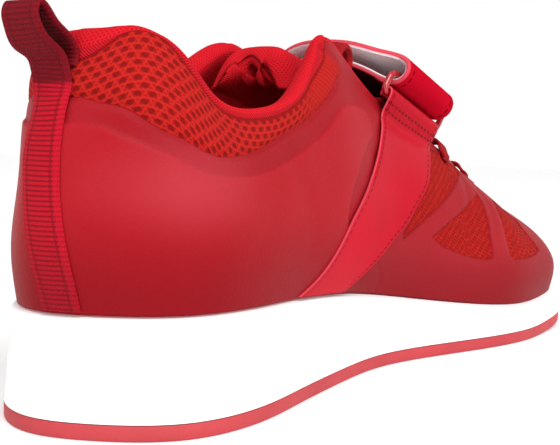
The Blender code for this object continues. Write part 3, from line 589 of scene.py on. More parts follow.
# How far parts of the outer wall stand out or sink in
COLLAR_SWELL = 1.3
COLLAR_SWELL_WIDTH = 9.0
HEEL_FLATTENING = 0.6
COLLAR_DIP = 0.9
PANEL_RISE = 0.8
WINDOW_DIP = 0.6
LINING_SEAM_DIP = 0.7
VAMP_SEAM_DIP = 0.35
# Painted highlight on the heel leather: its middle, and how far it reaches along and up
PAINTED_HIGHLIGHT_STATION = 30.0
PAINTED_HIGHLIGHT_RISE = 69.0
PAINTED_HIGHLIGHT_LENGTH = 34.0
PAINTED_HIGHLIGHT_HEIGHT = 20.0


def station_of(run):
    """Station on the feather line at a run."""
    return plan_at(run, 0.0)[0][..., 0]


SIDE_RUNS = np.linspace(0, FEATHER_PERIOD / 2, 400)
OUTER_RUNS = -SIDE_RUNS


def mirrored_run(run):
    """Run on the outer side, as a negative number, at the same station as an inner run."""
    outer = station_of(OUTER_RUNS)
    top = np.argmax(outer)
    bottom = np.argmin(outer)
    return np.interp(station_of(run), outer[bottom:top], OUTER_RUNS[bottom:top])


def mirrored(curve):
    """Twin on the outer side of a curve on the inner side."""
    return [(float(mirrored_run(run)), share) for run, share in curve]


# Upper surface at fine grain
FINE_RUNS = 640
OUTER_ROWS = 104
ROLL_ROWS = 10
INNER_ROWS = 22
# Share of the wall along which the UV map's first number is true
GIRTH_SHARE = 0.88
HALF_PERIOD = FEATHER_PERIOD / 2
# Millimetres in a share of 1, when a curve's points are spread
WALL_SPAN = 85.0
CURVE_SPACING = 0.8
# Beyond this distance a curve no longer matters, and how many points are measured at once
FAR = 30.0
CHUNK = 4000


def curve_points(curve, closed=False):
    """Runs and shares close together along a curve: straight pieces when closed, else smooth."""
    curve = np.array(curve, float)
    if closed:
        curve = np.vstack([curve, curve[:1]])
    at = path_lengths(curve * (1.0, WALL_SPAN))
    count = max(int(at[-1] / CURVE_SPACING), 8)
    picks = np.linspace(0, at[-1], count)
    if closed:
        return np.stack([np.interp(picks, at, curve[:, k]) for k in (0, 1)], 1)
    return OpenSpline(at, curve)(picks)


def inside(dense, runs, shares):
    """Whether grid points lie inside a closed curve of runs and shares."""
    hit = np.zeros(runs.shape, bool)
    x, y = dense[:, 0], dense[:, 1]
    x2, y2 = np.roll(x, -1), np.roll(y, -1)
    for a, b, c, d in zip(x, y, x2, y2):
        if b == d:
            continue
        crosses = (b > shares) != (d > shares)
        at = a + (shares - b) * (c - a) / (d - b)
        hit ^= crosses & (runs < at)
    return hit


class WallGrid:
    """The outer wall at fine grain, with distances to curves drawn on it."""

    def __init__(self):
        self.runs = np.linspace(-HALF_PERIOD, HALF_PERIOD, FINE_RUNS, endpoint=False)
        self.shares = np.linspace(0, 1, OUTER_ROWS)
        self.points = upper_grid(self.runs, self.shares)
        self.normals = grid_normals(self.points)
        self.run_grid, self.share_grid = np.meshgrid(self.runs, self.shares, indexing="ij")
        self.above_foot = row_lengths(self.points)
        self.below_top = self.above_foot[:, -1:] - self.above_foot

    def on_surface(self, dense):
        """Points in space of runs and shares, by interpolation in the grid."""
        u = (dense[:, 0] + HALF_PERIOD) / FEATHER_PERIOD * FINE_RUNS
        v = np.clip(dense[:, 1], 0, 1) * (OUTER_ROWS - 1)
        i = np.floor(u).astype(int)
        j = np.clip(np.floor(v).astype(int), 0, OUTER_ROWS - 2)
        a = (u - i)[:, None]
        b = (v - j)[:, None]
        i0, i1 = i % FINE_RUNS, (i + 1) % FINE_RUNS
        p = self.points
        return (
            p[i0, j] * (1 - a) * (1 - b) + p[i1, j] * a * (1 - b)
            + p[i0, j + 1] * (1 - a) * b + p[i1, j + 1] * a * b
        )

    def distance(self, dense):
        """Millimetres from each grid point to the nearest point of a curve, up to FAR."""
        line = self.on_surface(dense)
        result = np.full(self.run_grid.shape, FAR)
        near = (self.runs > dense[:, 0].min() - FAR) & (self.runs < dense[:, 0].max() + FAR)
        block = self.points[near].reshape(-1, 3)
        best = np.full(len(block), FAR)
        for start in range(0, len(block), CHUNK):
            part = block[start:start + CHUNK]
            gap = np.linalg.norm(part[:, None] - line[None], axis=2).min(axis=1)
            best[start:start + CHUNK] = np.minimum(gap, FAR)
        result[near] = best.reshape(-1, OUTER_ROWS)
        return result

    def signed(self, curve, closed, lid=None):
        """Distance to a curve, positive inside it; an open one closes along the lid share."""
        dense = curve_points(curve, closed=closed)
        gap = self.distance(dense)
        ring = dense
        if lid is not None:
            ring = np.vstack([dense, [(dense[-1, 0], lid), (dense[0, 0], lid)]])
        return np.where(inside(ring, self.run_grid, self.share_grid), gap, -gap)


def both_sides(wall, curve, closed, lid=None):
    """Signed distance to a curve on the inner side and to its twin on the outer side."""
    inner = wall.signed(curve, closed, lid)
    outer = wall.signed(mirrored(curve), closed, lid)
    return np.maximum(inner, outer)


# Meshes

def mesh_object(name, points, faces, looks, face_looks=None, uv=None, attributes=None):
    """Smooth object from points in shoe millimetres, with a UV map and attributes in mm."""
    mesh = bpy.data.meshes.new(name)
    mesh.from_pydata(place_all(points).tolist(), [], [tuple(f) for f in faces])
    for look in looks:
        mesh.materials.append(look)
    if face_looks is not None:
        mesh.polygons.foreach_set("material_index", np.asarray(face_looks, int).tolist())
    if uv is not None:
        layer = mesh.uv_layers.new(name="UVMap")
        corner = np.empty(len(mesh.loops), int)
        mesh.loops.foreach_get("vertex_index", corner)
        layer.data.foreach_set("uv", np.asarray(uv, float)[corner].ravel())
    spots = np.asarray(points, float)
    carried = {"station": spots[:, 0], "rise": spots[:, 2], **(attributes or {})}
    for key, values in carried.items():
        stored = mesh.attributes.new(key, "FLOAT", "POINT")
        stored.data.foreach_set("value", np.asarray(values, float).ravel())
    mesh.shade_smooth()
    mesh.update()
    made = linked(name, mesh)
    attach(made, "root")
    return made


def grid_faces(rows, columns, wrap_rows=False, wrap_columns=False):
    """Quads of a grid of points stored row by row."""
    i = np.arange(rows if wrap_rows else rows - 1)
    j = np.arange(columns if wrap_columns else columns - 1)
    i, j = np.meshgrid(i, j, indexing="ij")
    i, j = i.ravel(), j.ravel()
    i2, j2 = (i + 1) % rows, (j + 1) % columns
    return np.stack(
        [i * columns + j, i2 * columns + j, i2 * columns + j2, i * columns + j2], 1
    )


def soft_edge(distance, width):
    """0 outside a curve, 1 inside, smooth over a width centred on it."""
    return smooth_step(distance / width + 0.5)


def groove(distance, width):
    """1 on a curve, fading to 0 at about its width."""
    return np.exp(-((distance / width) ** 2))


def crease_depth(wall):
    """Depth of the soft creases on both sides."""
    depth = np.zeros(wall.run_grid.shape)
    for start, end, deep, width in CREASES:
        for curve in ((start, end), mirrored((start, end))):
            bent = np.array([curve[0], np.mean(curve, axis=0) + (2.0, 0.0), curve[1]])
            depth += deep * groove(wall.distance(curve_points(bent)), width)
    return depth


def build_upper_shell(look, lining_look):
    """Whole upper in one skin: outer wall with its panels, rolled collar and inner wall."""
    wall = WallGrid()
    from_heel = np.abs(wall.run_grid)
    collar = both_sides(wall, COLLAR_EDGE, False, COLLAR_LID)
    joined = (from_heel < COLLAR_JOIN[0]) & (wall.share_grid > COLLAR_JOIN[1])
    collar = np.where(joined, WELL_INSIDE, collar)
    panel = both_sides(wall, PANEL_EDGE, False, PANEL_LID)
    joined = (from_heel < PANEL_JOIN[0]) & (wall.share_grid < PANEL_JOIN[1])
    panel = np.where(joined, WELL_INSIDE, panel)
    window = np.maximum.reduce([both_sides(wall, curve, True) for curve in WINDOWS])
    window += WINDOW_GROWTH
    seam_share = np.interp(from_heel, *zip(*LINING_SEAM))
    seam = (wall.share_grid - seam_share) * wall.above_foot[:, -1:]
    vamp_seam = wall.distance(curve_points(VAMP_SEAM))
    lift = COLLAR_SWELL * smooth_step((collar + 1.0) / COLLAR_SWELL_WIDTH)
    lift *= 1 - HEEL_FLATTENING * smooth_step((10 - from_heel) / 4)
    lift -= COLLAR_DIP * groove(collar, 1.0)
    lift += PANEL_RISE * soft_edge(panel, 1.5) * (1 - soft_edge(collar, 1.0))
    lift -= WINDOW_DIP * soft_edge(window, 1.4)
    lift -= LINING_SEAM_DIP * groove(seam, 0.8)
    lift -= VAMP_SEAM_DIP * groove(vamp_seam, 0.6)
    lift -= crease_depth(wall)
    eyelet = eyelet_distance(wall.points)
    lift -= EYELET_DEPTH * smooth_step((EYELET_RADIUS - eyelet) / 1.0)
    lift += EYELET_RIM * groove(eyelet - EYELET_RADIUS - 1.0, 0.9)
    outer = wall.points + wall.normals * lift[:, :, None]
    table = UPPER_TABLE(wall.runs % FEATHER_PERIOD)
    top_wall, top_roll = table[:, TOP_WALL], table[:, TOP_ROLL]
    padding = smooth_step(1 - wall.below_top / COLLAR_PAD_DEPTH)
    thickness = UPPER_WALL + (top_wall[:, None] - UPPER_WALL) * padding
    inner = wall.points - wall.normals * thickness[:, :, None]
    centre = (outer[:, -1] + inner[:, -1]) / 2
    half = (outer[:, -1] - inner[:, -1]) / 2
    angles = np.linspace(0, math.pi, ROLL_ROWS + 2)[1:-1]
    up = np.array([0.0, 0.0, 1.0])
    roll = [centre + half * math.cos(a) + up * (top_roll * math.sin(a))[:, None] for a in angles]
    picks = np.linspace(OUTER_ROWS - 1, 0, INNER_ROWS).round().astype(int)
    rows = [outer[:, k] for k in range(OUTER_ROWS)] + roll + [inner[:, k] for k in picks]
    points = np.stack(rows, 1)
    count = points.shape[1]
    climb = row_lengths(points)
    climb -= climb[:, OUTER_ROWS - 1:OUTER_ROWS]
    girth = path_lengths(wall.points[:, int(OUTER_ROWS * GIRTH_SHARE)])
    uv = np.stack([np.repeat(girth[:, None], count, 1), climb], 2)

    def carried(values, inside_value):
        """Values of the outer wall, and one value for the roll and the inner wall."""
        full = np.full((FINE_RUNS, count), inside_value)
        full[:, :OUTER_ROWS] = values
        return full

    faces = grid_faces(FINE_RUNS, count, wrap_rows=True, wrap_columns=True)
    row_of_face = np.tile(np.arange(count), FINE_RUNS)
    is_lining = (row_of_face >= OUTER_ROWS - 1).astype(int)
    made = mesh_object(
        "upper_shell",
        points.reshape(-1, 3),
        faces,
        [look, lining_look],
        face_looks=is_lining,
        uv=uv.reshape(-1, 2),
        attributes={
            "collar": carried(collar, WELL_INSIDE),
            "panel": carried(panel, WELL_OUTSIDE),
            "window": carried(window, WELL_OUTSIDE),
            "seam": carried(seam, WELL_INSIDE),
            "above_foot": carried(wall.above_foot, 60.0),
            "eyelet": carried(eyelet, NO_EYELET),
        },
    )
    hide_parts("upper")
    return made


def upper_look():
    """Matte leather with a moulded panel, open mesh at the collar and ribbed mesh windows."""
    s = Shader("upper leather and mesh")
    u, v = s.uv()
    collar = s.step(s.attribute("collar"), -0.15, 0.15)
    window = s.step(s.attribute("window"), -0.15, 0.15)
    seam = s.step(s.attribute("seam"), -0.1, 0.1)
    panel = s.step(s.attribute("panel"), -0.6, 0.6)
    broad = s.noise(18.0, 3.0)
    leather = s.mix(s.step(broad, 0.3, 0.75), LEATHER_DEEP, LEATHER_RED)
    leather = s.mix(s.times(panel, 0.8), leather, PANEL_RED)
    # Painted highlight: a pale pink spot on the heel leather; the same pink also comes at random
    # as dusty nap.
    along = s.times(s.less(s.attribute("station"), PAINTED_HIGHLIGHT_STATION), 1 / PAINTED_HIGHLIGHT_LENGTH)
    up = s.times(s.less(s.attribute("rise"), PAINTED_HIGHLIGHT_RISE), 1 / PAINTED_HIGHLIGHT_HEIGHT)
    away = s.math("SQRT", s.add(s.times(along, along), s.times(up, up)))
    painted_highlight = s.times(s.step(away, 1.0, 0.0), 0.42)
    dusty = s.times(s.step(s.noise(11.0, 2.0), 0.48, 0.72), 0.2)
    leather = s.mix(s.larger(dusty, painted_highlight), leather, LEATHER_DUSTY_AND_HIGHLIGHT)
    # Painted shade: the leather darkens towards the feather line, where the wall turns in under
    # the foot.
    low = s.step(s.attribute("above_foot"), 34.0, 2.0)
    leather = s.mix(s.times(low, 0.75), leather, LEATHER_PAINTED_SHADE)
    wander = s.times(s.less(s.noise(240.0, 2.0), 0.5), 0.5)
    drift_u = s.add(u, wander)
    drift_v = s.add(v, wander)
    hole = s.step(s.dots(s.times(drift_u, 0.65), drift_v, 2.4, 2.2), 0.16, 0.46)
    front = s.step(s.attribute("station"), 78.0, 96.0)
    hole = s.larger(hole, front)
    yarn = s.add(0.5, s.times(s.wave(s.add(u, s.times(v, 0.6)), 0.62), 0.5))
    pips = s.step(s.dots(drift_u, drift_v, 1.3, 1.1), 0.10, 0.34)
    rim_tone = s.mix(s.times(yarn, 0.3), MESH_RED, darker(MESH_RED, 0.7))
    rim_tone = s.mix(pips, darker(MESH_RED, 0.66), rim_tone)
    rib = s.step(s.wave(s.add(s.times(u, 0.8), s.times(v, 0.6)), 1.15), 0.3, -0.9)
    rim_tone = s.mix(s.times(s.times(front, rib), 0.4), rim_tone, MESH_HOLE)
    open_mesh = s.mix(hole, MESH_HOLE, rim_tone)
    tilted = s.add(v, s.times(u, 0.35))
    fine = s.step(s.hexagons(s.add(u, wander), s.add(tilted, wander), 2.5, 0.75), 0.22, 0.44)
    yarn_tone = s.mix(s.times(yarn, 0.4), FRONT_MESH_RED, FRONT_MESH_DEEP)
    fine_mesh = s.mix(fine, FRONT_MESH_DEEP, yarn_tone)
    shaded = s.step(s.noise(420.0, 2.0), 0.58, 0.40)
    fine_mesh = s.mix(s.times(shaded, 0.5), fine_mesh, FRONT_MESH_DEEP)
    # Painted shadow: a dark line along each window's edge, where the leather steps down to the
    # mesh.
    outline = s.line(s.attribute("window"), 0.0, 0.9, 0.2)
    weave = s.times(s.wave(u, 0.9), s.wave(v, 0.9))
    lining = s.mix(s.step(weave, -0.6, 0.4), LEATHER_DEEP, LINING_RED)
    colour = s.mix(window, leather, fine_mesh)
    colour = s.mix(s.times(outline, 0.45), colour, LEATHER_PAINTED_SHADE)
    colour = s.mix(collar, colour, open_mesh)
    colour = s.mix(seam, colour, lining)
    thread = s.line(s.attribute("seam"), 0.0, 0.8, 0.3)
    colour = s.mix(s.times(thread, 0.75), colour, MESH_HOLE)
    # Painted shade: the eyelets are coloured near black for the shade inside the holes.
    punched = s.step(s.attribute("eyelet"), EYELET_RADIUS, EYELET_RADIUS - 0.7)
    colour = s.mix(s.times(punched, 0.9), colour, PAINTED_CAVITY_SHADE)
    s.set("Base Color", colour)
    rough_leather = s.blend(s.noise(60.0, 3.0), 0.42, 0.58)
    cloth = s.larger(collar, s.larger(window, seam))
    s.set("Roughness", s.blend(cloth, rough_leather, 0.85))
    grain = s.add(s.times(s.cells(1400.0), 0.35), s.times(s.noise(700.0, 3.0), 0.5))
    mesh_height = s.add(s.times(hole, 1.8), s.times(pips, 0.7))
    height = s.blend(window, s.times(grain, 0.6), s.times(fine, 1.6))
    height = s.blend(collar, height, mesh_height)
    height = s.blend(seam, height, s.times(weave, 0.5))
    s.bump(height, 0.5, 0.0006)
    s.set("Specular IOR Level", 0.09)
    return s.material


def lining_look(name="collar lining", pitch=1.3):
    """Soft knit lining with rows of small pits."""
    s = Shader(name)
    u, v = s.uv()
    pit = s.step(s.dots(u, v, pitch, pitch * 0.75), 0.16, 0.42)
    dark = darker(LINING_RED, 0.68)
    tone = s.mix(pit, dark, LINING_RED)
    tone = s.mix(s.times(s.noise(60.0, 3.0), 0.25), tone, dark)
    # Painted shade: where the piece asks for it, the cloth goes near black for the shade in the
    # tongue's cavity and tucks.
    s.set("Base Color", s.mix(s.times(s.attribute("painted_shade"), 0.8), tone, PAINTED_CAVITY_SHADE))
    s.set("Roughness", 0.9)
    s.set("Specular IOR Level", 0.08)
    s.bump(s.add(s.times(pit, 1.2), s.times(s.noise(700.0), 0.5)), 0.5, 0.0004)
    return s.material


# Sole
SOLE_FINE = 480
RIM_ROUND = 1.0
OUTSOLE_EDGE = 0.6
GROOVE_WIDTH = 2.4
GROOVE_DEPTH = 1.4
# How far a groove stops short of the sole's edge
GROOVE_MARGIN = 6.0
GROOVE_STATIONS = (16, 28, 58, 70, 172, 184, 212, 224, 236, 248, 260, 272)


def fine_ring(inset_distance, height):
    """Closed ring along the sole's outline, at the height that a function of station gives."""
    picks = np.linspace(0, PLAN_POINTS, SOLE_FINE, endpoint=False).astype(int)
    plan = inset(PLAN, inset_distance)[picks]
    return np.array([(x, y, float(height(x))) for x, y in plan])


def side_to_side(first, count):
    """Faces across a closed ring that starts at the heel's back."""
    half = count // 2
    faces = [(first, first + 1, first + count - 1)]
    for k in range(1, half - 1):
        faces.append((first + k, first + k + 1, first + count - k - 1, first + count - k))
    faces.append((first + half - 1, first + half, first + half + 1))
    return faces


def ring_stack(name, rings, look, node):
    """Closed piece from rings, shut at both ends by faces that run from side to side."""
    rings = np.array(rings)
    levels, count = rings.shape[:2]
    faces = [tuple(f) for f in grid_faces(levels, count, wrap_columns=True)]
    faces += [face[::-1] for face in side_to_side(0, count)]
    faces += side_to_side((levels - 1) * count, count)
    around = path_lengths(rings[0])
    uv = np.stack([np.tile(around, (levels, 1)), rings[:, :, 2]], 2)
    made = mesh_object(name, rings.reshape(-1, 3), faces, [look], uv=uv.reshape(-1, 2))
    made.data.set_sharp_from_angle(angle=math.radians(50))
    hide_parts(node)
    return made


def build_midsole_wall(look):
    """Midsole and heel lift in one, with a rounded rim and a seat for the upper."""
    def rim(station):
        return feather_height(station) - RIM_DROP

    def seat(station):
        return feather_height(station) - GAP

    def base(station):
        return spring(station) + OUTSOLE_THICKNESS + GAP

    rings = [fine_ring(0.0, base)]
    low = fine_ring(0.05, lambda s: base(s) + 0.5)
    high = fine_ring(RIM_INSET, lambda s: rim(s) - RIM_ROUND)
    rings += [low + (high - low) * t for t in np.linspace(0, 1, 12)]
    for turn in (25, 50, 75):
        a = math.radians(turn)
        rings.append(
            fine_ring(
                RIM_INSET + RIM_ROUND * (1 - math.cos(a)),
                lambda s, a=a: rim(s) - RIM_ROUND * (1 - math.sin(a)),
            )
        )
    rings.append(fine_ring(RIM_INSET + RIM_ROUND, rim))
    rings.append(fine_ring(FEATHER_INSET - 0.2, lambda s: rim(s) + 0.3))
    rings.append(fine_ring(FEATHER_INSET + 0.5, seat))
    return ring_stack("midsole_wall", rings, look, "midsole")


def build_outsole_rubber(look):
    """Outsole with rounded edges and grooves across its underside."""
    rings = [
        fine_ring(OUTSOLE_EDGE, spring),
        fine_ring(OUTSOLE_EDGE * 0.3, lambda s: spring(s) + OUTSOLE_EDGE * 0.3),
        fine_ring(0.0, lambda s: spring(s) + OUTSOLE_EDGE),
        fine_ring(0.0, lambda s: spring(s) + OUTSOLE_THICKNESS - 0.2),
        fine_ring(0.2, lambda s: spring(s) + OUTSOLE_THICKNESS),
    ]
    made = ring_stack("outsole_rubber", rings, look, "outsole")
    cut_grooves(made, look)
    return made


def cut_grooves(made, look):
    """Straight grooves across the underside that stop short of its edges."""
    box = ((3, 2, 1, 0), (4, 5, 6, 7), (0, 1, 5, 4), (1, 2, 6, 5), (2, 3, 7, 6), (3, 0, 4, 7))
    corners = []
    faces = []
    for number, station in enumerate(GROOVE_STATIONS):
        along = station * LONG
        sides = PLAN[np.abs(PLAN[:, 0] - along) < GROOVE_WIDTH, 1]
        low = sides.min() + GROOVE_MARGIN
        high = sides.max() - GROOVE_MARGIN
        floor = float(spring(along))
        for height in (floor - 3.0, floor + GROOVE_DEPTH):
            for x, y in ((-1, low), (1, low), (1, high), (-1, high)):
                corners.append((along + x * GROOVE_WIDTH / 2, y, height))
        faces += [tuple(8 * number + k for k in face) for face in box]
    mesh = bpy.data.meshes.new("groove_cutters")
    mesh.from_pydata(place_all(np.array(corners)).tolist(), [], faces)
    mesh.materials.append(look)
    for piece in (mesh, made.data):
        shape = bmesh.new()
        shape.from_mesh(piece)
        bmesh.ops.recalc_face_normals(shape, faces=shape.faces)
        bmesh.ops.triangulate(shape, faces=shape.faces)
        shape.to_mesh(piece)
        shape.free()
    cutter = linked("groove_cutters", mesh)
    cut = made.modifiers.new("grooves", "BOOLEAN")
    cut.operation = "DIFFERENCE"
    cut.solver = "EXACT"
    cut.object = cutter
    bpy.context.view_layer.update()
    solved = made.evaluated_get(bpy.context.evaluated_depsgraph_get())
    grooved = bpy.data.meshes.new_from_object(solved)
    made.modifiers.clear()
    made.data = grooved
    bpy.data.objects.remove(cutter)


def midsole_look():
    s = Shader("white midsole")
    tone = s.mix(s.times(s.noise(14.0, 4.0), 0.5), MIDSOLE_WHITE, MIDSOLE_SOILED)
    s.set("Base Color", tone)
    s.set("Roughness", s.blend(s.noise(80.0, 3.0), 0.38, 0.55))
    s.bump(s.noise(900.0, 2.0), 0.08, 0.0004)
    return s.material


def outsole_look():
    s = Shader("red rubber")
    tone = s.mix(s.step(s.noise(30.0, 4.0), 0.35, 0.7), OUTSOLE_RED, OUTSOLE_WORN)
    s.set("Base Color", tone)
    s.set("Roughness", s.blend(s.noise(120.0, 3.0), 0.55, 0.75))
    s.bump(s.add(s.noise(1200.0, 2.0), s.times(s.noise(200.0), 0.6)), 0.2, 0.0004)
    return s.material


# Bands

def rounded_band(name, sheet, thickness, look, node, swell=None):
    """Closed band with rounded edges; the UV map is millimetres along and across."""
    along = np.gradient(sheet, axis=0)
    across = np.gradient(sheet, axis=1)
    normal = np.cross(along, across)
    normal /= np.linalg.norm(normal, axis=2)[:, :, None]
    side = across / np.linalg.norm(across, axis=2)[:, :, None]
    middle = sheet[:, sheet.shape[1] // 2]
    lengths = path_lengths(middle)
    width_at = row_lengths(sheet)
    half = thickness / 2
    lift = np.zeros(sheet.shape[:2]) if swell is None else swell(lengths, width_at)
    top = sheet + normal * (half + lift)[:, :, None]
    under = sheet - normal * half
    edge_low = sheet[:, 0] - side[:, 0] * half * 0.6
    edge_high = sheet[:, -1] + side[:, -1] * half * 0.6
    ring = np.concatenate([top, edge_high[:, None], under[:, ::-1], edge_low[:, None]], 1)
    columns = sheet.shape[1]
    across_uv = np.concatenate(
        [width_at, width_at[:, -1:] + half, width_at[:, ::-1], width_at[:, :1] - half], 1
    )
    along_uv = np.repeat(lengths[:, None], ring.shape[1], 1)
    uv = np.stack([along_uv, across_uv], 2)
    is_plus = np.concatenate([np.ones(columns), [0.5], np.zeros(columns), [0.5]])
    rows_count, ring_count = ring.shape[:2]
    faces = [tuple(f) for f in grid_faces(rows_count, ring_count, wrap_columns=True)]
    faces.append(tuple(range(ring_count))[::-1])
    faces.append(tuple(range((rows_count - 1) * ring_count, rows_count * ring_count)))
    edge_gap = np.minimum(across_uv, width_at[:, -1:] - across_uv)
    made = mesh_object(
        name,
        ring.reshape(-1, 3),
        faces,
        [look],
        uv=uv.reshape(-1, 2),
        attributes={
            "plus": np.tile(is_plus, (rows_count, 1)),
            "edge": edge_gap,
            "from_end": lengths[-1] - along_uv,
        },
    )
    made.data.set_sharp_from_angle(angle=math.radians(60))
    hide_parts(node)
    return made


# Rows of points across the bands

def unit(vector):
    return vector / np.linalg.norm(vector)


def wall_point(run, share, lift):
    """Point of the outer wall moved out along its normal by lift."""
    reach = 1.5
    step = 0.01
    high = min(share + step, 1.0)
    low = high - 2 * step
    along = upper_section(run + reach)(share) - upper_section(run - reach)(share)
    section = upper_section(run)
    normal = unit(np.cross(along, section(high) - section(low)))
    return section(share) + normal * lift


def wall_row(share, rear_run, front_run, lift, across):
    """Row of points across a band that lies on the wall."""
    return [wall_point(run, share, lift) for run in np.linspace(rear_run, front_run, across)]


def free_row(rear, front, across):
    """Straight row of points across a band that is clear of the wall."""
    rear = np.array(rear, float)
    front = np.array(front, float)
    return [rear + (front - rear) * t for t in np.linspace(0, 1, across)]


# How much a turn of one radian counts when rows are spread, in millimetres
TURN_WEIGHT = 10.0
FINE_ROWS = 500
FINE_ACROSS = 14


def wall_rows(table, lift):
    """Rows on the wall from a table of share, rear run and front run."""
    return [wall_row(share, rear, front, lift, FINE_ACROSS) for share, rear, front in table]


def free_rows(table):
    """Rows clear of the wall from a table of stations, side and heights."""
    return [
        free_row((rear, side, rear_up), (front, side, front_up), FINE_ACROSS)
        for rear, front, side, rear_up, front_up in table
    ]


def smooth_rows(rows, count):
    """Rows along smooth curves through the given rows, closer together in the bends."""
    rows = np.array(rows, float)
    at = path_lengths(rows.mean(axis=1))
    flat = OpenSpline(at, rows.reshape(len(rows), -1))
    fine = np.linspace(0, at[-1], FINE_ROWS)
    steps = np.diff(flat(fine).reshape(FINE_ROWS, rows.shape[1], 3).mean(axis=1), axis=0)
    lengths = np.linalg.norm(steps, axis=1)
    heading = steps / lengths[:, None]
    turns = np.arccos(np.clip((heading[1:] * heading[:-1]).sum(axis=1), -1, 1))
    measure = np.cumsum(lengths + TURN_WEIGHT * np.concatenate([[0.0], turns]))
    measure = np.concatenate([[0.0], measure])
    picked = np.interp(np.linspace(0, measure[-1], count), measure, fine)
    return flat(picked).reshape(count, rows.shape[1], 3)


# Inner strap anchor on the wall: share up the wall, rear run, front run
INNER_ANCHOR = (
    (0.01, 95.0, 127.0),
    (0.10, 107.5, 140.0),
    (0.20, 116.5, 149.0),
    (0.30, 124.0, 156.8),
    (0.40, 131.8, 165.3),
    (0.52, 139.2, 172.8),
    (0.65, 146.6, 180.4),
    (0.75, 151.0, 183.5),
    (0.85, 154.5, 186.5),
    (0.92, 156.8, 189.0),
)
BAND_THICKNESS = 1.2
BAND_LIFT = 1.1
# Ring bars: station, side, height of each end of the bar's axis
RING_LOW_REAR = (140.8, -23.4, 100.9)
RING_LOW_FRONT = (180.8, -22.8, 86.8)
RING_HIGH_REAR = (146.0, -24.0, 108.0)
RING_HIGH_FRONT = (186.0, -23.4, 93.9)
RING_WIRE = 1.25
RING_CORNER = 3.0
RING_SIDES = 18
SLEEVE_RADIUS = RING_WIRE + GAP + BAND_THICKNESS / 2
SLEEVE_TURNS = (-20, 25, 70, 115, 160, 200)
BAND_MARGIN = RING_WIRE + 1.2


def bar_frame(rear, front):
    """Unit vectors along a ring bar, out of the shoe and up across it."""
    along = unit(np.array(front) - np.array(rear))
    out = unit(np.cross(along, (0.0, 0.0, 1.0)))
    return along, out, np.cross(out, along)


def bar_row(rear, front, margin, turn, radius, shift=(0.0, 0.0, 0.0)):
    """Row around a ring bar at a turn in degrees, from out (0) over the top (90)."""
    along, out, up = bar_frame(rear, front)
    angle = math.radians(turn)
    offset = (out * math.cos(angle) + up * math.sin(angle)) * radius + np.array(shift)
    start = np.array(rear) + along * margin + offset
    end = np.array(front) - along * margin + offset
    return free_row(start, end, FINE_ACROSS)


def rounded_loop(corners, radius, steps):
    """Closed path through four corners with round turns."""
    corners = [np.array(c, float) for c in corners]
    path = []
    for i, corner in enumerate(corners):
        back = unit(corners[i - 1] - corner)
        ahead = unit(corners[(i + 1) % 4] - corner)
        start = corner + back * radius
        end = corner + ahead * radius
        for t in np.linspace(0, 1, steps):
            path.append((1 - t) ** 2 * start + 2 * t * (1 - t) * corner + t * t * end)
    return path


# Strap over the throat, from the outer sole edge to the ring and back.
# Outer wall part: share up the wall, rear run, front run
OUTER_ANCHOR = (
    (0.01, 563.0, 529.0),
    (0.20, 554.0, 519.0),
    (0.45, 539.0, 503.0),
    (0.70, 526.0, 489.0),
)
# Free part, lower layer from the outer side to the ring: rear station, front station,
# side, rear height, front height
LOWER_LAYER = (
    (140.0, 177.0, 25.6, 99.5, 87.5),
    (139.5, 176.5, 21.8, 107.5, 95.5),
    (139.0, 176.0, 14.0, 112.2, 99.5),
    (139.5, 176.5, 3.0, 112.6, 99.8),
    (141.0, 178.0, -8.0, 110.8, 98.0),
    (144.0, 179.5, -16.5, 107.2, 94.6),
)
UPPER_LAYER = (
    (146.5, 180.5, -17.0, 115.6, 102.6),
    (142.5, 178.5, -8.0, 118.2, 105.2),
    (139.5, 176.5, 3.0, 119.2, 106.2),
    (138.5, 175.5, 13.0, 118.6, 105.8),
    (138.0, 175.0, 21.5, 115.0, 102.4),
    (138.0, 175.0, 27.0, 107.8, 95.5),
    (138.0, 175.0, 31.0, 98.6, 87.0),
)
# End of the upper layer on the outer wall: share, rear run, front run
STRAP_END = (
    (0.60, 533.0, 497.0),
    (0.46, 539.5, 505.0),
    (0.36, 541.5, 513.0),
)
STRAP_THICKNESS = 2.4
STRAP_LIFT = 1.6
STRAP_END_LIFT = STRAP_LIFT + STRAP_THICKNESS + 0.7
BEND_TURNS = (-70, -35, 0, 35, 70)
BEND_RADIUS = 4.7
BEND_RISE = 1.8
STRAP_MARGIN = 3.2


# Pull loop: base on the heel wall as share up the wall and run at the band's middle
LOOP_BASE = (
    (0.012, 7.5),
    (0.10, 6.3),
    (0.25, 4.2),
    (0.45, 2.6),
    (0.65, 2.4),
    (0.80, 3.0),
)
LOOP_HALF_WIDTH = 6.5
LOOP_THICKNESS = 1.2
LOOP_LIFT = 1.15
# Free loop, out to the back, over the top and down behind: outer-side station and height,
# inner-side station and height
LOOP_TURNS = (
    (5.4, 97.5, 7.5, 96.5),
    (4.6, 100.6, 6.8, 100.0),
    (3.4, 102.9, 5.6, 102.9),
    (0.0, 104.7, 2.9, 105.3),
    (-2.6, 107.3, -0.7, 108.0),
    (-4.0, 111.0, -2.8, 111.2),
    (-4.5, 114.3, -3.4, 114.3),
    (-3.2, 116.6, -2.1, 116.4),
    (-0.6, 115.4, 0.3, 114.9),
    (2.4, 112.3, 3.0, 111.7),
    (5.8, 109.4, 6.6, 109.0),
    (7.9, 106.6, 9.2, 106.2),
    (8.3, 103.6, 10.1, 103.2),
    (7.0, 100.9, 9.0, 100.5),
)
LOOP_OUTER_SIDE = 3.5
LOOP_INNER_SIDE = -9.5


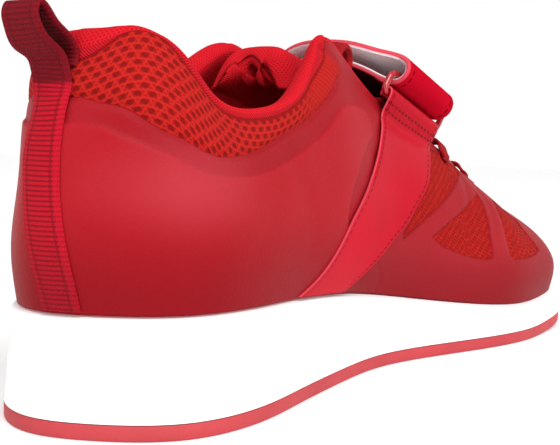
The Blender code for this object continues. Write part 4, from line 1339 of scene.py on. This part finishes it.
# Lace bars: station at the throat edge, height over the middle of the tongue, and how far
# down the wall the ends reach as a share of its height, inner side and outer side
LACE_BARS = (
    (216.0, 70.6, 0.92, 0.92),
    (193.5, 80.6, 0.92, 0.92),
    (170.0, 88.8, 1.0, 0.92),
    (147.5, 97.4, 1.0, 0.92),
)
LACE_WIDTH = 6.0
LACE_THICKNESS = 1.2
LACE_LIFT = 1.1
LACE_EDGE_RISE = 1.0


def edge_run(station, inner_side):
    """Run whose section has its top edge at a station, on one side of the throat."""
    low, high = (125.0, 300.0) if inner_side else (372.0, 549.0)
    runs = np.linspace(low, high, 800)
    return runs[np.argmin(np.abs(UPPER_TABLE(runs)[:, TOP_STATION] - station))]


# Small fabric loop beside the inner throat corner: station, side, height
THROAT_LOOP = (
    (121.5, -15.2, 108.4),
    (123.5, -15.0, 113.0),
    (127.0, -14.2, 115.4),
    (131.0, -13.4, 114.6),
    (132.6, -13.2, 111.4),
    (131.0, -13.8, 107.4),
)


# Tongue: station, crest height, half width, edge height, thickness, side, squareness
TONGUE_SECTIONS = (
    (226, 59.5, 9, 56.0, 3.0, 0.0, 2.0),
    (212, 65.0, 15, 60.0, 3.5, 0.0, 2.0),
    (190, 75.5, 20, 67.0, 4.0, 0.0, 2.0),
    (168, 85.0, 22, 74.0, 5.0, 0.0, 2.0),
    (146, 95.0, 22, 80.0, 6.0, 0.0, 2.2),
    (126, 105.5, 18.5, 88.0, 7.5, 0.5, 3.0),
    (110, 112.5, 16.0, 96.0, 9.0, 1.0, 4.0),
    (98, 115.5, 16.0, 100.0, 9.0, 1.5, 4.5),
)


def tongue_spline():
    """Tongue sections by their distance from its toe end, and the last distance."""
    at = [TONGUE_SECTIONS[0][0] - row[0] for row in TONGUE_SECTIONS]
    return OpenSpline(at, TONGUE_SECTIONS), at[-1]


def build_anchor_band(look):
    """Band sewn to the inner wall that turns over the ring's lower bar."""
    rows = wall_rows(INNER_ANCHOR, BAND_LIFT)
    rows += [
        bar_row(RING_LOW_REAR, RING_LOW_FRONT, BAND_MARGIN, turn, SLEEVE_RADIUS)
        for turn in SLEEVE_TURNS
    ]
    sheet = smooth_rows(rows, 240)
    return rounded_band(
        "anchor_band", sheet, BAND_THICKNESS, look, "strap_anchor_inner"
    )


def build_strap_band(look):
    """Strap from the outer sole edge, over the throat, round the ring and back."""
    rise = (0.0, 0.0, BEND_RISE)
    bend = [
        bar_row(RING_HIGH_REAR, RING_HIGH_FRONT, STRAP_MARGIN, turn, BEND_RADIUS, rise)
        for turn in BEND_TURNS
    ]
    rows = wall_rows(OUTER_ANCHOR, STRAP_LIFT) + free_rows(LOWER_LAYER) + bend
    rows += free_rows(UPPER_LAYER) + wall_rows(STRAP_END, STRAP_END_LIFT)
    sheet = smooth_rows(rows, 420)
    return rounded_band("strap_band", sheet, STRAP_THICKNESS, look, "strap")


LOOP_FINE_LEFT = 4.6
RIB_PITCH = 1.35
RIB_HEIGHT = 0.3


def build_webbing_loop(look):
    """Ribbed webbing up the heel that turns over in a free loop."""
    across = 10
    rows = [
        wall_row(share, run - LOOP_FINE_LEFT, run + LOOP_HALF_WIDTH, LOOP_LIFT, across)
        for share, run in LOOP_BASE
    ]
    rows += [
        free_row(
            (outer, LOOP_OUTER_SIDE, outer_up), (inner, LOOP_INNER_SIDE, inner_up), across
        )
        for outer, outer_up, inner, inner_up in LOOP_TURNS
    ]
    sheet = smooth_rows(rows, 560)

    def ribs(lengths, width_at):
        """Swelling of the top face that makes cross ribs."""
        share = width_at / width_at[:, -1:]
        body = smooth_step(np.minimum(share, 1 - share) / 0.12)
        wave = 0.5 + 0.5 * np.cos(lengths * 2 * math.pi / RIB_PITCH)
        return RIB_HEIGHT * wave[:, None] * body

    return rounded_band(
        "webbing_loop", sheet, LOOP_THICKNESS, look, "pull_loop", swell=ribs
    )


EYELET_RADIUS = 2.3
EYELET_DEPTH = 1.3
EYELET_RIM = 0.45
EYELET_LACE_LIFT = -0.2
NO_EYELET = 99.0
# Lace end at an eyelet: share of the way back up to the edge, lift, share of the width
LACE_END = (
    (0.0, EYELET_LACE_LIFT, 0.45),
    (0.25, LACE_LIFT, 0.8),
    (0.55, LACE_LIFT, 1.0),
)


def eyelet_distance(points):
    """Distance in mm from each wall point to the nearest punched eyelet."""
    nearest = np.full(points.shape[:2], NO_EYELET)
    for station, height, *tails in LACE_BARS:
        for inner_side, tail in zip((True, False), tails):
            if tail < 1.0:
                centre = np.array(wall_point(edge_run(station, inner_side), tail, 0.0))
                nearest = np.minimum(nearest, np.linalg.norm(points - centre, axis=2))
    return nearest


def build_lace(name, node, station, middle_height, tails, look):
    """Flat lace over the tongue, its ends going down into the eyelets."""
    across = 6
    ends = []
    for inner_side, tail in zip((True, False), tails):
        run = edge_run(station, inner_side)
        turn = LACE_WIDTH / 2 if inner_side else -LACE_WIDTH / 2
        ends.append([])
        if tail < 1.0:
            for way, lift, part in LACE_END:
                half = turn * part
                share = tail + (1.0 - tail) * way
                ends[-1].append(wall_row(share, run - half, run + half, lift, across))
        over_edge = np.array(wall_row(1.0, run - turn, run + turn, LACE_LIFT, across))
        ends[-1].append(over_edge + np.array([0.0, 0.0, LACE_EDGE_RISE]))
    middle = free_row(
        (station - LACE_WIDTH / 2, 0.0, middle_height + LACE_WIDTH * 0.2),
        (station + LACE_WIDTH / 2, 0.0, middle_height - LACE_WIDTH * 0.2),
        across,
    )
    rows = ends[0] + [middle] + ends[1][::-1]
    return rounded_band(name, smooth_rows(rows, 90), LACE_THICKNESS, look, node)


FABRIC_LOOP_THICKNESS = 3.0


def build_fabric_loop(look):
    """Small loop of cloth beside the inner throat corner."""
    rows = [
        free_row((station, side - 1.0, height), (station, side + 4.0, height + 0.8), 6)
        for station, side, height in THROAT_LOOP
    ]
    sheet = smooth_rows(rows, 70)
    return rounded_band(
        "fabric_loop", sheet, FABRIC_LOOP_THICKNESS, look, "throat_loop"
    )


def build_ring_wire(look):
    """Round wire ring, four bars with round corners."""
    corners = (RING_LOW_REAR, RING_LOW_FRONT, RING_HIGH_FRONT, RING_HIGH_REAR)
    path = np.array(rounded_loop(corners, RING_CORNER, 14))
    third = len(path) // 3
    plane = unit(np.cross(path[third] - path[0], path[2 * third] - path[0]))
    tangent = np.roll(path, -1, 0) - np.roll(path, 1, 0)
    out = np.cross(tangent, plane)
    out /= np.linalg.norm(out, axis=1)[:, None]
    angles = np.linspace(0, 2 * math.pi, RING_SIDES, endpoint=False)
    rings = [path + (out * math.cos(a) + plane * math.sin(a)) * RING_WIRE for a in angles]
    points = np.stack(rings, 1)
    faces = grid_faces(len(path), RING_SIDES, wrap_rows=True, wrap_columns=True)
    made = mesh_object("ring_wire", points.reshape(-1, 3), faces, [look])
    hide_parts("strap_ring")
    return made


# Millimetres from the strap's end: the stretch with fleece, and where painted shade darkens its
# underside
FLEECE_ZONE = (42.0, 150.0)
UNDERSIDE_SHADE_FADE = (134.0, 138.0)
STITCH_PITCH = 2.6


def band_look(name, colour, stitch_rows, cross_rows=(), fleece_zone=None, gloss=0.05):
    """Smooth band with a painted highlight on its cut edges, stitch rows and, where asked, a
    fleece on one face and painted shade on its underside.
    """
    s = Shader(name)
    u, v = s.uv()
    edge = s.attribute("edge")
    plus = s.attribute("plus")
    tone = s.mix(s.step(s.noise(25.0, 3.0), 0.3, 0.75), darker(colour, 0.82), colour)
    end = s.attribute("from_end")
    stitch = 0.0
    for across, along, stitched in ((edge, u, stitch_rows), (end, v, cross_rows)):
        dash = s.step(s.wave(along, STITCH_PITCH), -0.5, -0.1)
        for row in stitched:
            stitch = s.larger(stitch, s.times(s.line(across, row, 0.55, 0.3), dash))
    tone = s.mix(s.times(stitch, 0.85), tone, darker(colour, 0.3))
    # Painted highlight: the cut edges are coloured pale pink as if lit.
    cut = s.step(edge, 0.0, -0.25)
    tone = s.mix(s.times(cut, 0.85), tone, STRAP_EDGE_HIGHLIGHT)
    height = s.add(s.times(s.noise(900.0, 3.0), 0.3), s.times(stitch, 0.9))
    rough = s.blend(s.noise(90.0, 3.0), 0.36, 0.5)
    if fleece_zone is not None:
        low, high = fleece_zone
        zone = s.times(s.step(end, high + 1.0, high), s.step(end, low, low + 1.0))
        fleece = s.times(s.step(plus, 0.6, 0.9), zone)
        pile = s.noise(1500.0, 4.0)
        pile_tone = s.mix(pile, darker(FLEECE, 0.65), FLEECE)
        tone = s.mix(fleece, tone, pile_tone)
        height = s.blend(fleece, height, s.times(pile, 3.0))
        rough = s.blend(fleece, rough, 0.95)
        # Painted shade: the strap's underside is coloured near black where it lies in shadow.
        under = s.times(s.step(plus, 0.4, 0.1), s.step(end, *UNDERSIDE_SHADE_FADE))
        tone = s.mix(under, tone, STRAP_UNDER_PAINTED_SHADE)
    s.set("Base Color", tone)
    s.set("Roughness", rough)
    s.bump(height, 0.5, 0.0005)
    s.set("Specular IOR Level", gloss)
    return s.material


def webbing_look():
    s = Shader("crimson webbing")
    u, v = s.uv()
    rib = s.add(s.times(s.wave(u, RIB_PITCH, math.pi / 2), 0.5), 0.5)
    edge = s.attribute("edge")
    selvedge = s.step(edge, 1.6, 1.3)
    column = s.line(edge, 2.2, 0.5, 0.25)
    thread = s.times(s.wave(v, 0.8), s.wave(u, 0.7))
    tone = s.mix(s.step(rib, 0.05, 0.7), darker(WEBBING_RED, 0.4), WEBBING_RED)
    tone = s.mix(s.times(s.step(thread, -0.2, 1.0), 0.35), tone, WEBBING_LIGHT)
    tone = s.mix(s.times(column, 0.6), tone, darker(WEBBING_RED, 0.4))
    tone = s.mix(s.times(selvedge, 0.5), tone, WEBBING_LIGHT)
    # Painted shade: the free loop above the heel is darkened, as it faces away from the light.
    free = s.step(s.attribute("rise"), 95.5, 96.5)
    tone = s.mix(s.times(free, 0.75), tone, WEBBING_PAINTED_SHADE)
    # Painted shade: the webbing darkens towards the bottom of the heel.
    low = s.step(s.attribute("rise"), 62.0, 34.0)
    tone = s.mix(s.times(low, 0.4), tone, WEBBING_PAINTED_SHADE)
    s.set("Base Color", tone)
    s.set("Roughness", 0.75)
    s.set("Specular IOR Level", 0.12)
    s.bump(s.add(thread, s.times(s.noise(900.0), 0.5)), 0.5, 0.0003)
    return s.material


def lace_look():
    s = Shader("woven lace")
    u, v = s.uv()
    weave = s.times(s.wave(s.add(u, v), 1.0), s.wave(s.less(u, v), 1.0))
    tone = s.mix(s.step(weave, -0.7, 0.6), darker(LACE_RED, 0.4), LACE_RED)
    s.set("Base Color", tone)
    s.set("Roughness", 0.8)
    s.set("Specular IOR Level", 0.12)
    s.bump(weave, 0.6, 0.0003)
    return s.material


def ring_look():
    s = Shader("glossy red ring")
    s.set("Base Color", s.mix(s.noise(60.0), RING_RED, darker(RING_RED, 0.8)))
    s.set("Roughness", s.blend(s.noise(150.0), 0.12, 0.22))
    s.set("Coat Weight", 0.6)
    s.set("Coat Roughness", 0.08)
    s.bump(s.noise(250.0), 0.05, 0.0003)
    return s.material


TONGUE_FINE_ALONG = 170
TONGUE_FINE_ACROSS = 60
# Two tucks on the underside at the tongue's top: side at the lip, side further in
TUCKS = ((-2.6, -1.2), (3.0, 1.4))
TUCK_REACH = 24.0
TUCK_START = 1.0
TUCK_DEPTH = 4.6
TUCK_WIDTH = 1.0
LOBE_SWELL = 6.5
LIP_ROUND = 6.0
# How far the outer corner of the lip lies back, and the lip to the side
SKEW = 7.0
SKEW_SIDE = 1.6


def build_tongue_pad(look):
    """Padded tongue, arched across, with two tucks and swollen lobes at its top."""
    rows, last = tongue_spline()
    across = np.linspace(-1, 1, TONGUE_FINE_ACROSS)
    across = np.sign(across) * (1 - (1 - np.abs(across)) ** 1.15)
    along = last * (1 - (1 - np.linspace(0, 1, TONGUE_FINE_ALONG)) ** 1.25)
    rings = []
    uvs = []
    painted_shades = []
    for t in along:
        station, crest, half, edge, thick, side, square = rows(t)
        ahead = rows(min(t + 1, last))[:2] - rows(max(t - 1, 0))[:2]
        lean = np.array([-ahead[1], 0, ahead[0]]) / np.linalg.norm(ahead)
        if lean[2] < 0:
            lean = -lean
        from_lip = last - t
        near = smooth_step(1 - from_lip / TUCK_REACH)
        drop = (crest - edge) * np.abs(across) ** square
        back = station - SKEW * near * np.maximum(across, 0.0) ** 2
        wide = side + SKEW_SIDE * near + across * half
        skin = np.stack([back, wide, crest - drop], 1)
        slope = np.gradient(skin, axis=0)
        out = np.cross(slope, np.cross(lean, (0.0, 1.0, 0.0)))
        out /= np.linalg.norm(out, axis=1)[:, None]
        out *= np.sign(out @ lean)[:, None] + (out @ lean == 0)[:, None]
        round_end = math.sqrt(max(1 - max(1 - min(t, from_lip) / LIP_ROUND, 0.0) ** 2, 0.0))
        reach = thick * (1 - 0.45 * np.abs(across) ** 6) / 2
        reach *= max(round_end, 0.01) * np.sqrt(np.maximum(1 - np.abs(across) ** 14, 0.02))
        lobes = LOBE_SWELL * near * smooth_step(np.abs(across) / 0.45)
        lobes *= np.sqrt(np.maximum(1 - np.abs(across) ** 5, 0.0))
        start = smooth_step((from_lip - TUCK_START) / 3.0)
        fade = smooth_step((TUCK_REACH + 6 - from_lip) / 8.0)
        tuck = np.zeros(len(across))
        share = min(from_lip / TUCK_REACH, 1.0)
        for at_lip, further in TUCKS:
            line = at_lip + (further - at_lip) * share
            tuck = np.maximum(tuck, groove(skin[:, 1] - side - line, TUCK_WIDTH))
        below = 2 * reach + lobes * round_end - TUCK_DEPTH * tuck * start * fade
        rim = ((thick + lobes) / 2 * (1 - max(round_end, 0.01)))[:, None]
        top = skin - out * rim
        under = skin - out * (rim + np.maximum(below, 0.03)[:, None])
        rings.append(np.concatenate([top, under[::-1]]))
        girth = path_lengths(skin)
        uvs.append(np.stack([np.full(len(girth) * 2, t), np.append(girth, girth[::-1])], 1))
        # Painted shade: the tongue's underside is darkened in its middle deep in the throat, and
        # along the tucks.
        painted_shade = smooth_step((from_lip - 9) / 8) * smooth_step((0.6 - np.abs(across)) / 0.25)
        dark = np.maximum(painted_shade, tuck * start * 0.6)
        painted_shades.append(np.append(np.zeros_like(dark), dark[::-1]))
    points = np.array(rings)
    count = points.shape[1]
    uv = np.array(uvs)
    steps = np.linalg.norm(np.diff(points, axis=0), axis=2)
    uv[1:, :, 0] = np.cumsum(steps, axis=0)
    faces = [tuple(f) for f in grid_faces(TONGUE_FINE_ALONG, count, wrap_columns=True)]
    faces.append(tuple(range(count))[::-1])
    faces.append(tuple(range((TONGUE_FINE_ALONG - 1) * count, TONGUE_FINE_ALONG * count)))
    made = mesh_object(
        "tongue_pad",
        points.reshape(-1, 3),
        faces,
        [look],
        uv=uv.reshape(-1, 2),
        attributes={"painted_shade": np.array(painted_shades)},
    )
    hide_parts("tongue")
    return made


# Stage, light and camera
CAMERA_PLACE = (-0.203, -0.2163, 0.0818)
CAMERA_YAW = 38.27
CAMERA_PITCH = -4.84
CAMERA_ROLL = 1.2
CAMERA_LENS = 62.45
FLOOR_HALF = 3.0


def turned_to(right, up, back, spot):
    """Object matrix from the three axes and the place."""
    matrix = Matrix(np.stack([right, up, back], 1).tolist()).to_4x4()
    matrix.translation = spot
    return matrix


def build_camera():
    yaw, pitch, roll = (math.radians(a) for a in (CAMERA_YAW, CAMERA_PITCH, CAMERA_ROLL))
    ahead = np.array(
        [math.cos(yaw) * math.cos(pitch), math.sin(yaw) * math.cos(pitch), math.sin(pitch)]
    )
    right = unit(np.cross(ahead, (0, 0, 1)))
    up = np.cross(right, ahead)
    turned_right = right * math.cos(roll) + up * math.sin(roll)
    turned_up = up * math.cos(roll) - right * math.sin(roll)
    lens = bpy.data.cameras.new("camera")
    lens.lens = CAMERA_LENS
    lens.sensor_width = 36.0
    lens.clip_start = 0.01
    made = linked("camera", lens)
    made.matrix_world = turned_to(turned_right, turned_up, -ahead, CAMERA_PLACE)
    bpy.context.scene.camera = made


def build_floor():
    signs = ((-1, -1), (1, -1), (1, 1), (-1, 1))
    corners = [(x * FLOOR_HALF, y * FLOOR_HALF, 0) for x, y in signs]
    mesh = bpy.data.meshes.new("floor")
    mesh.from_pydata(corners, [], [(0, 1, 2, 3)])
    s = Shader("pale floor")
    s.set("Base Color", s.mix(s.times(s.noise(3.0), 0.2), FLOOR_WHITE, FLOOR_SHADE))
    s.set("Roughness", 0.7)
    s.set("Emission Color", (1.0, 1.0, 1.0))
    s.set("Emission Strength", 0.12)
    mesh.materials.append(s.material)
    linked("floor", mesh)


# Sun: direction that it shines from, strength and angle in radians
SUN_FROM = (-0.40, -0.62, 1.0)
SUN_STRENGTH = 2.1
SUN_ANGLE = 0.6
# Area lights: name, spot, aim, width, height, watts
LIGHTS = (
    ("side", (-0.10, -1.0, 0.42), (0.02, 0.0, 0.07), 0.35, 0.45, 2.2),
    ("rear_fill", (-1.0, 0.1, 0.7), (0.0, 0.0, 0.06), 0.8, 0.8, 3.0),
    ("toe_fill", (1.1, -0.7, 0.8), (0.15, 0.0, 0.05), 0.9, 0.9, 3.0),
)
# White at the horizon, dimmer overhead: sine of the elevation, then strength
SKY_FADE = (("From Min", 0.16), ("From Max", 0.36), ("To Min", 1.0), ("To Max", 0.45))


def build_lights():
    for name, spot, aim, width, height, watts in LIGHTS:
        lamp = bpy.data.lights.new(name, "AREA")
        lamp.shape = "RECTANGLE"
        lamp.size = width
        lamp.size_y = height
        lamp.energy = watts
        back = unit(np.array(spot) - np.array(aim))
        right = unit(np.cross((0, 0, 1), back))
        linked(name, lamp).matrix_world = turned_to(right, np.cross(back, right), back, spot)
    sun = bpy.data.lights.new("sun", "SUN")
    sun.energy = SUN_STRENGTH
    sun.angle = SUN_ANGLE
    turn = Vector(SUN_FROM).to_track_quat("Z", "Y").to_euler()
    linked("sun", sun).rotation_euler = turn
    world = bpy.data.worlds.new("studio")
    world.use_nodes = True
    nodes = world.node_tree.nodes
    links = world.node_tree.links
    sky = nodes["Background"]
    sky.inputs[0].default_value = (1.0, 1.0, 1.0, 1.0)
    parts = nodes.new("ShaderNodeSeparateXYZ")
    links.new(nodes.new("ShaderNodeTexCoord").outputs["Generated"], parts.inputs[0])
    fade = nodes.new("ShaderNodeMapRange")
    fade.interpolation_type = "SMOOTHSTEP"
    for name, value in SKY_FADE:
        fade.inputs[name].default_value = value
    links.new(parts.outputs[2], fade.inputs["Value"])
    links.new(fade.outputs[0], sky.inputs[1])
    bpy.context.scene.world = world
    bpy.context.scene.view_settings.view_transform = "Standard"


def dress_insole():
    """The CAD insole keeps its shape and takes a cloth look."""
    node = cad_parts["insole"]
    node.data.materials.clear()
    node.data.materials.append(footbed_look())


def footbed_look():
    s = Shader("insole fabric")
    weave = s.noise(1200.0, 2.0)
    s.set("Base Color", s.mix(weave, FOOTBED_DARK, FOOTBED_LIGHT))
    s.set("Roughness", 0.9)
    s.bump(weave, 0.4, 0.0004)
    return s.material


def main():
    build_camera()
    build_floor()
    build_lights()
    build_midsole_wall(midsole_look())
    build_outsole_rubber(outsole_look())
    dress_insole()
    build_upper_shell(upper_look(), lining_look())
    build_tongue_pad(lining_look("tongue cloth"))
    build_anchor_band(band_look("anchor band", STRAP_RED, (1.6,), (11.0, 14.0)))
    build_strap_band(
        band_look("strap band", STRAP_RED, (2.6,), fleece_zone=FLEECE_ZONE, gloss=0.0)
    )
    build_webbing_loop(webbing_look())
    build_ring_wire(ring_look())
    lace = lace_look()
    for number, (station, height, *tails) in enumerate(LACE_BARS, 1):
        build_lace(f"lace_{number}", f"lace_bar_{number}", station, height, tails, lace)
    build_fabric_loop(lace)


main()
